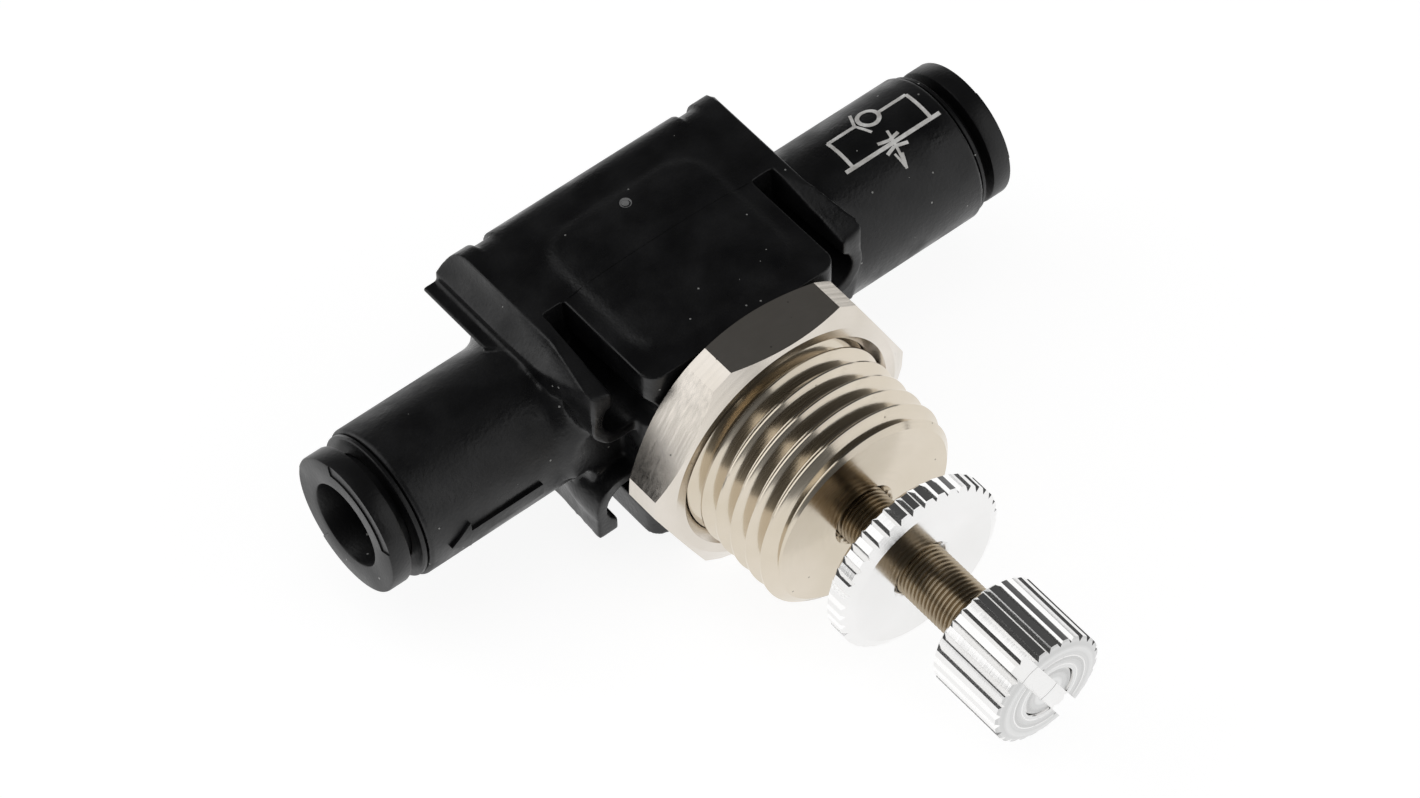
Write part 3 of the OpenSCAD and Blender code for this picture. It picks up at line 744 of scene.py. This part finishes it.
def at_angle(vert, angle):
    """True for points that lie at this angle round the tubes' axis."""
    way = Vector((0, vert.co.y - RUN_Y * MM, vert.co.z)).normalized()
    return (way - Vector((0, math.cos(angle), math.sin(angle)))).length < 0.01


def crescent_cutter(start, end, inner):
    """A closed sector between two angles, from an inner radius out past the collet's rim."""
    corners = [(inner, CRESCENT_FLOOR), (CUTTER_R, CRESCENT_FLOOR),
               (CUTTER_R, CUTTER_END), (inner, CUTTER_END)]
    sector = chain("crescent", [
        (x, RUN_Y + r * math.cos(start), r * math.sin(start)) for r, x in corners + corners[:1]])
    edit_all(sector)
    bpy.ops.mesh.remove_doubles(threshold=WELD)
    everything()
    # Spin turns the other way about +X, so the angle between the two ends is negative here.
    bpy.ops.mesh.spin(steps=40, angle=start - end, center=(0, RUN_Y * MM, 0), axis=(1, 0, 0))
    for angle in (start, end):
        pick(sector, "VERT", lambda vert: at_angle(vert, angle))
        bpy.ops.mesh.edge_face_add()
    done()
    facing_out(sector)
    return sector


for first_angle, last_angle, inner_radius in CRESCENTS:
    cutter = crescent_cutter(math.radians(first_angle), math.radians(last_angle), inner_radius)
    combine(collet, cutter, "DIFFERENCE")
for piece in (retainer, collet):
    smooth(piece, 40)
print("Collet with crescents:", count(collet), "triangles")


# %% Copy them to the left-hand port
def half_turn(piece, name):
    """A copy with its own mesh, turned half round an upright axis through the tubes."""
    only(piece)
    bpy.ops.object.duplicate(linked=False)
    copy = bpy.context.object
    copy.name = name
    edit_all(copy)
    bpy.ops.transform.rotate(value=math.pi, orient_axis="Z", center_override=(0, RUN_Y * MM, 0))
    done()
    return copy


left_retainer = half_turn(retainer, "left_retainer")
left_collet = half_turn(collet, "left_collet_button")
for side, ring, button in (("right", retainer, collet), ("left", left_retainer, left_collet)):
    hand_in(ring, collet_black, "housing", "collet_plastic", side + "_retainer_ring")
    hand_in(button, collet_black, side + "_collet", "collet_plastic", side + "_collet")

# %% [markdown]
# ## The threaded bushing
# The bushing carries a coarse panel thread. It is screwed as a plain rod and then trimmed to an envelope
# that was turned on the lathe, with its end chamfer and its stepped bore. The shank that sits inside the
# body is joined on behind.

# %% Screw the panel thread
THREAD_R = 7.85
THREAD_PITCH = 1.5
PANEL_TURN = [
    (0.08, 0.0), (0.0, 0.08), (0.0, 0.20), (0.08, 0.28), (0.93, 0.81), (0.98, 0.85), (0.98, 0.93),
    (0.93, 0.97), (0.08, THREAD_PITCH)]
BUSHING_ENVELOPE = [
    (2.53, -12.1), (6.95, -12.1), (7.05, -11.95), (7.85, -11.15), (8.2, -10.8), (8.2, -0.4), (2.59, -0.4),
    (2.59, -4.1), (2.03, -4.1), (2.03, -11.45)]
bushing = threaded_rod("bushing_thread", THREAD_R, PANEL_TURN, THREAD_PITCH, first_y=1.6, turns=11,
                       y_low=-11.95, y_high=-0.5)
combine(bushing, turned("bushing_envelope", BUSHING_ENVELOPE), "INTERSECT")
print("Panel thread:", count(bushing), "triangles")

# %% Join the shank
SHANK_SECTION = [
    (2.62, -0.7), (6.85, -0.7), (6.85, 0.0), (6.2, 0.0), (6.2, 2.05), (5.35, 2.05), (5.35, 3.15),
    (6.2, 3.15), (6.2, 4.3), (5.9, 4.6), (2.62, 4.6)]
combine(bushing, turned("bushing_shank", SHANK_SECTION), "UNION")
smooth(bushing, 18)
hand_in(bushing, bushing_nickel, "housing", "nickel_plate", "threaded_bushing")

# %% [markdown]
# ## The panel nut
# A hexagon nut starts as a six-sided bar. Its corners are turned down on both faces, and where that cone
# meets the flats it leaves the curved edges that make a nut look like a nut. So the bar is kept only
# where it lies inside a turned envelope with both cones and the bore.

# %% Cut the nut from a six-sided bar
NUT_FLATS = 19.0
NUT_BAR = 4.0
NUT_Y = -2.1
NUT_CORNER = 56.6
CORNER_FLAT = 0.95


def corner_angle(piece):
    """The angle of the bar's first corner round the stem, in degrees."""
    corner = piece.data.vertices[0].co
    return math.degrees(math.atan2(corner.z, corner.x))


deselect()
bpy.ops.mesh.primitive_cylinder_add(
    vertices=6, radius=NUT_FLATS / 2 / math.cos(math.pi / 6) * MM, depth=NUT_BAR * MM,
    location=(0, NUT_Y * MM, 0), rotation=(math.pi / 2, 0, 0))
panel_nut = fresh("panel_nut_hex")
to_turn = math.radians(NUT_CORNER - corner_angle(panel_nut))
edit_all(panel_nut)
bpy.ops.transform.rotate(value=to_turn, orient_axis="Y", center_override=(0, 0, 0))
done()
print("Nut corner at", round(corner_angle(panel_nut) % 60, 2), "degrees")
edit(panel_nut)
pick(panel_nut, "EDGE", lambda edge: abs(edge.verts[0].co.y - edge.verts[1].co.y) > NUT_BAR / 2 * MM)
bpy.ops.mesh.bevel(offset=CORNER_FLAT * MM, segments=1, affect="EDGES")
done()

# %% Trim it to its turned envelope
NUT_ENVELOPE = [
    (7.9, -3.4), (8.6, -4.2), (9.25, -4.2), (9.25, -4.1), (10.6, -3.38), (11.2, -3.38), (11.2, -0.82),
    (10.6, -0.82), (9.25, -0.1), (9.25, -0.02), (7.9, -0.02)]
combine(panel_nut, turned("nut_envelope", NUT_ENVELOPE, steps=192), "INTERSECT")
smooth(panel_nut, 18)
hand_in(panel_nut, nut_nickel, "panel_nut", "nickel_plate", "panel_nut")

# %% [markdown]
# ## The adjusting screw
# The needle screw has a fine thread along its middle, a plunger and needle inside the bushing, and a
# plain end in the knob, with a slot for a screwdriver. The fine thread is screwed like the coarse one,
# and the plain lengths are turned and joined on at both ends.

# %% Screw and turn the stem
STEM_R = 1.98
STEM_PITCH = 0.35
STEM_TURN = [(0.0, 0.0), (0.0, 0.04), (0.19, 0.155), (0.19, 0.195), (0.0, 0.31), (0.0, STEM_PITCH)]
NEEDLE_SECTION = [
    (0, -9.1), (1.75, -9.1), (1.75, -8.9), (1.93, -8.7), (1.93, -2.4), (2.44, -2.3), (2.54, -2.2),
    (2.54, 0.0), (1.75, 0.0), (1.75, 0.98), (2.54, 0.98), (2.54, 2.5), (2.44, 2.6), (1.2, 2.6), (1.2, 5.2),
    (0.4, 8.8), (0, 8.8)]
END_SECTION = [(0, -23.5), (1.75, -23.5), (1.96, -23.65), (1.96, -29.9), (1.86, -30.0), (0, -30.0)]
stem = threaded_rod("stem", STEM_R, STEM_TURN, STEM_PITCH, first_y=-8.4, turns=46,
                    y_low=-23.7, y_high=-8.95, steps=48)
combine(stem, turned("stem_needle", NEEDLE_SECTION, steps=64), "UNION")
combine(stem, turned("stem_end", END_SECTION, steps=64), "UNION")
print("Stem:", count(stem), "triangles")

# %% [markdown]
# The screwdriver slot runs across the end of the stem and of the knob. One bar, set across the axis at
# the slot's turn, cuts both, so the two halves of the slot line up.

# %% Cut the driver slot
SLOT_Y = -30.2
SLOT_BAR = (14.0, 2.0, 1.45)
SLOT_TURN = 63


def slot_cutter():
    """The bar that cuts the driver slot, across the knob's end."""
    deselect()
    bpy.ops.mesh.primitive_cube_add(size=1, location=(0, SLOT_Y * MM, 0), scale=Vector(SLOT_BAR) * MM)
    bar = fresh("slot_cutter")
    bar.rotation_euler = (0, math.radians(SLOT_TURN), 0)
    bpy.ops.object.transform_apply(location=False, rotation=True, scale=False)
    return bar


combine(stem, slot_cutter(), "DIFFERENCE")
smooth(stem, 30)
hand_in(stem, screw_bronze, "adjuster", "screw_brass", "adjusting_screw")


# %% [markdown]
# The stem's end and the end of the knob get the same finish, a darker grey with pale rings, which is
# painted shade with painted ring highlights. That finish goes on the faces that look along the axis. The
# stem's sides near the end are chromed with the knob, and the rest keeps its own finish.

# %% Give the stem's end its second finish
CHROME_FROM = -28.0
FACED_FROM = -29.9


def second_finish(piece, material, test):
    """Give a second material to the faces that pass a test."""
    piece.data.materials.append(material)
    edit(piece)
    found = pick(piece, "FACE", test)
    piece.active_material_index = len(piece.data.materials) - 1
    bpy.ops.object.material_slot_assign()
    done()
    print(material.name, "on", found, "faces of", piece.name)


def faced_end(face):
    """True for faces at the very end that look along the axis."""
    return face.calc_center_median().y < FACED_FROM * MM and face.normal.y < -0.8


second_finish(stem, knob_chrome, lambda face: face.calc_center_median().y < CHROME_FROM * MM)
second_finish(stem, knob_end_painted_light, faced_end)


# %% [markdown]
# ## The fluted lock nut and knob
# Both have straight flutes cut round the rim. A circle with four points to each flute gives the rim:
# three points stay on the tip and one is pulled in to the valley. The outline is extruded to length and
# kept inside a turned envelope, whose chamfers make the scalloped edge seen at both ends.

# %% Helper for a fluted bar
def fluted(name, radius, depth, flutes, y_back, y_front):
    """A bar along Y with straight V flutes, from y_back to y_front."""
    points = flutes * 4
    deselect()
    bpy.ops.mesh.primitive_circle_add(vertices=points, radius=radius * MM, fill_type="NGON",
                                      location=(0, y_back * MM, 0), rotation=(math.pi / 2, 0, 0))
    piece = fresh(name)
    edit(piece)
    step = math.tau / points
    pick(piece, "VERT", lambda vert: round(math.atan2(vert.co.z, vert.co.x) / step) % 4 == 3)
    inward = 1 - depth / radius
    bpy.ops.transform.resize(value=(inward, 1, inward), center_override=(0, y_back * MM, 0))
    everything()
    bpy.ops.mesh.extrude_region_move(TRANSFORM_OT_translate={"value": (0, (y_front - y_back) * MM, 0)})
    done()
    facing_out(piece)
    print(name, "with", flutes, "flutes")
    return piece


# %% Flute and trim the lock nut
FLUTE_DEPTH = 0.34
LOCK_ENVELOPE = [
    (2.03, -16.1), (2.33, -15.8), (6.25, -15.8), (6.7, -16.2), (6.7, -17.35), (5.75, -17.84),
    (2.45, -17.84), (2.03, -17.5)]
lock_nut = fluted("lock_nut_rim", radius=6.6, depth=FLUTE_DEPTH, flutes=40, y_back=-15.7, y_front=-18.0)
combine(lock_nut, turned("lock_envelope", LOCK_ENVELOPE, steps=192), "INTERSECT")
smooth(lock_nut, 20)
hand_in(lock_nut, knob_chrome, "lock_nut", "chrome_plate", "lock_nut")

# %% [markdown]
# The knob's end has two fine turned grooves. Cutting the slot through them can leave a sliver of a hole,
# and filling holes of up to four sides closes it.

# %% Flute, trim and slot the knob
KNOB_ENVELOPE = [
    (2.0, -23.6), (3.95, -23.6), (4.4, -23.95), (4.4, -29.76), (3.6, -30.1), (3.02, -30.1), (2.97, -30.06),
    (2.92, -30.1), (2.35, -30.1), (2.3, -30.06), (2.25, -30.1), (2.0, -30.1)]
knob = fluted("knob_grip", radius=4.3, depth=FLUTE_DEPTH, flutes=27, y_back=-23.5, y_front=-30.3)
combine(knob, turned("knob_envelope", KNOB_ENVELOPE, steps=192), "INTERSECT")
combine(knob, slot_cutter(), "DIFFERENCE")
edit_all(knob)
bpy.ops.mesh.fill_holes(sides=4)
done()
smooth(knob, 20)
hand_in(knob, knob_chrome, "adjuster", "chrome_plate", "knob")
# The knob's end takes the painted shade and the painted ring highlights.
second_finish(knob, knob_end_painted_light, faced_end)

# %% [markdown]
# ## Print and moulded marks
# The right barrel carries the standard drawing symbol for a one-way throttle, printed in pale grey, and
# the left one a raised flow arrow. Both lie on a round barrel. They are drawn flat beside it, divided
# finely and thrown onto the moulding by a Shrinkwrap modifier, and then given their small thickness.

# %% Helpers for drawing flat strips
SHEET_Z = 7.0


def on_barrel(x, degrees):
    """The flat place above the barrel of a point, given by X and by angle from the top to the front."""
    return Vector((x, RUN_Y - BARREL_R * math.sin(math.radians(degrees)), SHEET_Z))


def strip(name, start, end, width):
    """A flat strip between two points, drawn as an edge that is extruded sideways and divided."""
    along = (end - start).normalized()
    side = Vector((-along.y, along.x, 0)) * width
    piece = chain(name, [start - side / 2, end - side / 2])
    edit_all(piece)
    bpy.ops.mesh.extrude_edges_move(TRANSFORM_OT_translate={"value": side * MM})
    everything()
    bpy.ops.mesh.subdivide(number_cuts=15)
    done()
    return piece


def joined(name, strips):
    """Several strips as one piece."""
    only(strips[0])
    for piece in strips[1:]:
        piece.select_set(True)
    bpy.ops.object.join()
    strips[0].name = name
    return strips[0]


def lay_on_body(piece, way, lift, thickness):
    """Throw a flat drawing along a way, such as -Z, onto the moulding and give it a thickness."""
    sign, axis = way
    edit_all(piece)
    bpy.ops.mesh.normals_make_consistent(inside=False)
    faces = bmesh.from_edit_mesh(piece.data).faces
    facing = sum(face.normal["XYZ".index(axis)] for face in faces)
    if (facing > 0) == (sign == "+"):
        bpy.ops.mesh.flip_normals()
    done()
    apply(piece, "SHRINKWRAP", target=body_shell, wrap_method="PROJECT", offset=lift * MM,
          use_project_y=axis == "Y", use_project_z=axis == "Z",
          use_negative_direction=sign == "-", use_positive_direction=sign == "+")
    apply(piece, "SOLIDIFY", thickness=thickness * MM, offset=1.0)


# %% [markdown]
# Each stroke of the symbol is typed as where it starts and where it ends, both as a place along the
# barrel in millimetres and an angle from the top to the front in degrees. The check valve's ball is a
# ring of its own.

# %% Print the one-way throttle symbol
BOX_LINE = 0.272
MAIN_LINE = 0.289
SEAT_LINE = 0.221
THROTTLE_LINE = 0.238
SHAFT_LINE = 0.204
HEAD_LINE = 0.17
BALL_R = 0.90
BALL_HOLE = 0.66
STROKES = [
    (15.4, -13.6, 15.4, 15.0, BOX_LINE), (14.75, 15.0, 22.95, 15.0, MAIN_LINE),
    (22.2, 15.0, 22.2, -12.8, BOX_LINE), (15.4, -13.2, 17.8, -13.2, BOX_LINE),
    (19.75, -12.8, 22.2, -12.8, BOX_LINE), (18.36, -27.0, 17.75, -13.4, SEAT_LINE),
    (17.75, -13.4, 18.25, -0.6, SEAT_LINE), (17.9, 10.0, 18.75, 12.2, THROTTLE_LINE),
    (18.75, 12.2, 19.65, 10.4, THROTTLE_LINE), (17.95, 20.4, 18.75, 17.8, THROTTLE_LINE),
    (18.75, 17.8, 19.75, 20.4, THROTTLE_LINE), (19.12, 5.0, 18.58, 35.0, SHAFT_LINE),
    (18.58, 35.5, 18.42, 22.5, HEAD_LINE), (18.58, 35.5, 18.95, 24.5, HEAD_LINE)]
strips = [strip("symbol_line", on_barrel(x0, angle0), on_barrel(x1, angle1), width)
          for x0, angle0, x1, angle1, width in STROKES]
ball = on_barrel(18.95, -13.4) * MM
deselect()
bpy.ops.mesh.primitive_circle_add(vertices=48, radius=BALL_R * MM, fill_type="NOTHING", location=ball)
ring = fresh("symbol_ball")
edit_all(ring)
bpy.ops.mesh.extrude_edges_move(TRANSFORM_OT_translate={"value": (0, 0, 0)})
bpy.ops.transform.resize(value=(BALL_HOLE, BALL_HOLE, 1), center_override=ball)
done()
flow_symbol = joined("flow_symbol", strips + [ring])
lay_on_body(flow_symbol, "-Z", lift=0.02, thickness=0.02)
hand_in(flow_symbol, print_grey, "housing", "housing_plastic")

# %% [markdown]
# The arrow is one flat face, drawn in front of the left barrel. It is cut into narrow bands along the
# barrel, so that it can bend round it when it is thrown on.

# %% Raise the flow arrow
ARROW = [
    (-22.0, 0.0), (-20.35, 1.2), (-20.35, 0.5), (-14.5, 0.5), (-14.5, -0.5), (-20.35, -0.5), (-20.35, -1.2),
    (-22.0, 0.0)]
ARROW_Y = 2.5
ARROW_DROP = 0.28
ARROW_BANDS = (-1.2, -0.95, -0.6, -0.4, -0.2, 0.0, 0.2, 0.4, 0.6)
flow_arrow = chain("flow_arrow", [(x, ARROW_Y, z - ARROW_DROP) for x, z in ARROW])
edit_all(flow_arrow)
bpy.ops.mesh.remove_doubles(threshold=WELD)
everything()
bpy.ops.mesh.edge_face_add()
for band_z in ARROW_BANDS:
    everything()
    bpy.ops.mesh.bisect(plane_co=(0, 0, band_z * MM), plane_no=(0, 0, 1), threshold=CUT_SNAP)
done()
lay_on_body(flow_arrow, "+Y", lift=0.0, thickness=0.26)
hand_in(flow_arrow, housing_black, "housing", "housing_plastic")

# %% [markdown]
# Plastic enters the mould through a gate, which leaves a small rough crater. A ray cast down onto the
# block finds the height of its top. Two insets, the first pressed in and the second raised again, make
# the crater's rim and its stub. Where the mould's halves met, a faint parting line stands up.

# %% Set the gate mark on the top
ABOVE_GATE = (0.2, 12.6, 20)
GATE_R = 0.42
GATE_HEIGHT = 0.16
top = body_shell.ray_cast(Vector(ABOVE_GATE) * MM, Vector((0, 0, -1)))[1]
deselect()
bpy.ops.mesh.primitive_cylinder_add(vertices=32, radius=GATE_R * MM, depth=GATE_HEIGHT * MM, location=top)
gate_mark = fresh("gate_mark")
edit(gate_mark)
pick(gate_mark, "FACE", lambda face: face.normal.z > 0.9)
for inset, lift in ((0.13, -0.1), (0.12, 0.09)):
    bpy.ops.mesh.inset(thickness=inset * MM)
    bpy.ops.transform.translate(value=(0, 0, lift * MM))
done()
apply(gate_mark, "BEVEL", width=0.03 * MM, segments=2)
smooth(gate_mark, 40)
hand_in(gate_mark, gate_grey, "housing", "housing_plastic")

# %% Raise the parting line across the top
PARTING_ENDS = [Vector((x, 9.0, 10.0)) for x in (-7.6, 7.6)]
parting = strip("parting_line", *PARTING_ENDS, width=0.09)
lay_on_body(parting, "-Z", lift=0.0, thickness=0.03)
hand_in(parting, housing_black, "housing", "housing_plastic")

# %% [markdown]
# ## Pieces that stay as CAD
# The seals, grip rings, spacers and the seat cartridge sit inside. Their CAD shapes are already right,
# so they keep them and only get proper finishes.

# %% Dress the inner CAD pieces
inner_finish = {"bushing_o_ring": seal_rubber, "screw_o_ring": seal_rubber, "cartridge_o_ring": seal_rubber,
                "check_lip_seal": seal_rubber, "seat_cartridge": cartridge_brass}
for side in ("left", "right"):
    inner_finish[side + "_grip_ring"] = grip_steel
    inner_finish[side + "_seal_spacer"] = spacer_white
    inner_finish[side + "_tube_seal"] = seal_rubber
for name, material in inner_finish.items():
    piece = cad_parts[name]
    piece.data.materials.clear()
    piece.data.materials.append(material)
print("Inner pieces dressed:", len(inner_finish))

# %% [markdown]
# ## Floor, light and camera
# Bright metal shows what surrounds it more than what lights it. The floor glows white, so faces that
# look down and forward are pale. The sky is grey at the horizon and darker overhead, so upward faces
# turn dark, as they do under a studio ceiling.

# %% Floor
FLOOR_Z = -10.8
deselect()
bpy.ops.mesh.primitive_plane_add(size=3.0, location=(0, 0, FLOOR_Z * MM))
floor = bpy.context.object
floor.name = "floor"
floor_white, tree, shader = blank("floor_white")
shader.inputs["Base Color"].default_value = (0.25, 0.25, 0.25, 1)
shader.inputs["Roughness"].default_value = 0.9
shader.inputs["Specular IOR Level"].default_value = 0.0
shader.inputs["Emission Color"].default_value = (1, 1, 1, 1)
shader.inputs["Emission Strength"].default_value = 0.89
floor.data.materials.append(floor_white)
print("Floor at", floor.location.z / MM, "mm")

# %% Sky
SKY_STOPS = [(0.0, 0.30), (0.12, 0.22), (0.35, 0.12), (0.60, 0.08), (1.0, 0.06)]
sky = bpy.data.worlds.new("studio_sky")
scene.world = sky
sky.use_nodes = True
tree = sky.node_tree
tree.nodes.clear()
way = node(tree, "ShaderNodeTexCoord")
split = node(tree, "ShaderNodeSeparateXYZ")
shade = node(tree, "ShaderNodeValToRGB")
glow = node(tree, "ShaderNodeBackground")
output = node(tree, "ShaderNodeOutputWorld")
while len(shade.color_ramp.elements) < len(SKY_STOPS):
    shade.color_ramp.elements.new(0.5)
for element, (position, value) in zip(shade.color_ramp.elements, SKY_STOPS):
    element.position = position
    element.color = (value, value, value, 1)
link(tree,
     (way.outputs["Generated"], split.inputs[0]),
     (split.outputs["Z"], shade.inputs[0]),
     (shade.outputs[0], glow.inputs["Color"]),
     (glow.outputs[0], output.inputs["Surface"]))
print("Sky:", sky.name)

# %% [markdown]
# Two large soft lights stand behind on the left and in front on the right. A third hangs overhead and
# brightens what is dull without being mirrored, so the upward faces of the metal stay dark.

# %% Soft lights
def soft_light(name, place, width, height, watts):
    """A softbox that looks at the valve and stays out of the picture."""
    lamp = bpy.data.lights.new(name, "AREA")
    lamp.shape = "RECTANGLE"
    lamp.size = width
    lamp.size_y = height
    lamp.energy = watts
    holder = bpy.data.objects.new(name, lamp)
    holder.visible_camera = False
    scene.collection.objects.link(holder)
    holder.location = place
    holder.rotation_euler = (Vector(place) * -1).to_track_quat("-Z", "Y").to_euler()
    return holder


soft_light("back_left_softbox", (-0.358, 0.346, 0.336), width=0.46, height=0.80, watts=1.27)
soft_light("front_right_softbox", (0.321, -0.428, 0.272), width=0.56, height=0.60, watts=0.80)
overhead = soft_light("overhead_softbox", (-0.064, -0.082, 0.59), width=0.45, height=0.45, watts=0.80)
overhead.visible_glossy = False
scene.view_settings.view_transform = "Standard"
print("Lights:", [lamp.name for lamp in bpy.data.lights])

# %% [markdown]
# The camera was fitted to the photograph: two angles and a roll for its direction, the focal length in
# pixels, and the distance and the small shifts from the middle of the tubes in millimetres.

# %% Camera at the photograph's angle
AZIMUTH = math.radians(-37.9185)
ELEVATION = math.radians(52.1944)
ROLL = math.radians(-1.5755)
FOCAL_PIXELS = 5792.2
PHOTO_WIDTH = 1420
SENSOR = 36
DISTANCE = 384.524
SHIFT_RIGHT = 3.2026
SHIFT_DOWN = 5.1540
level = math.cos(ELEVATION)
back = Vector((math.sin(AZIMUTH) * level, -math.cos(AZIMUTH) * level, math.sin(ELEVATION)))
level_right = Vector((math.cos(AZIMUTH), math.sin(AZIMUTH), 0))
level_up = back.cross(level_right)
right = level_right * math.cos(ROLL) + level_up * math.sin(ROLL)
up = level_up * math.cos(ROLL) - level_right * math.sin(ROLL)
lens = bpy.data.cameras.new("portrait_camera")
lens.sensor_width = SENSOR
lens.lens = FOCAL_PIXELS * SENSOR / PHOTO_WIDTH
lens.clip_start = 0.01
camera = bpy.data.objects.new("portrait_camera", lens)
scene.collection.objects.link(camera)
pose = Matrix((right, up, back)).transposed().to_4x4()
pose.translation = (back * DISTANCE + right * SHIFT_RIGHT - up * SHIFT_DOWN + Vector((0, RUN_Y, 0))) * MM
camera.matrix_world = pose
scene.camera = camera
print("Camera at", [round(value, 4) for value in camera.location])
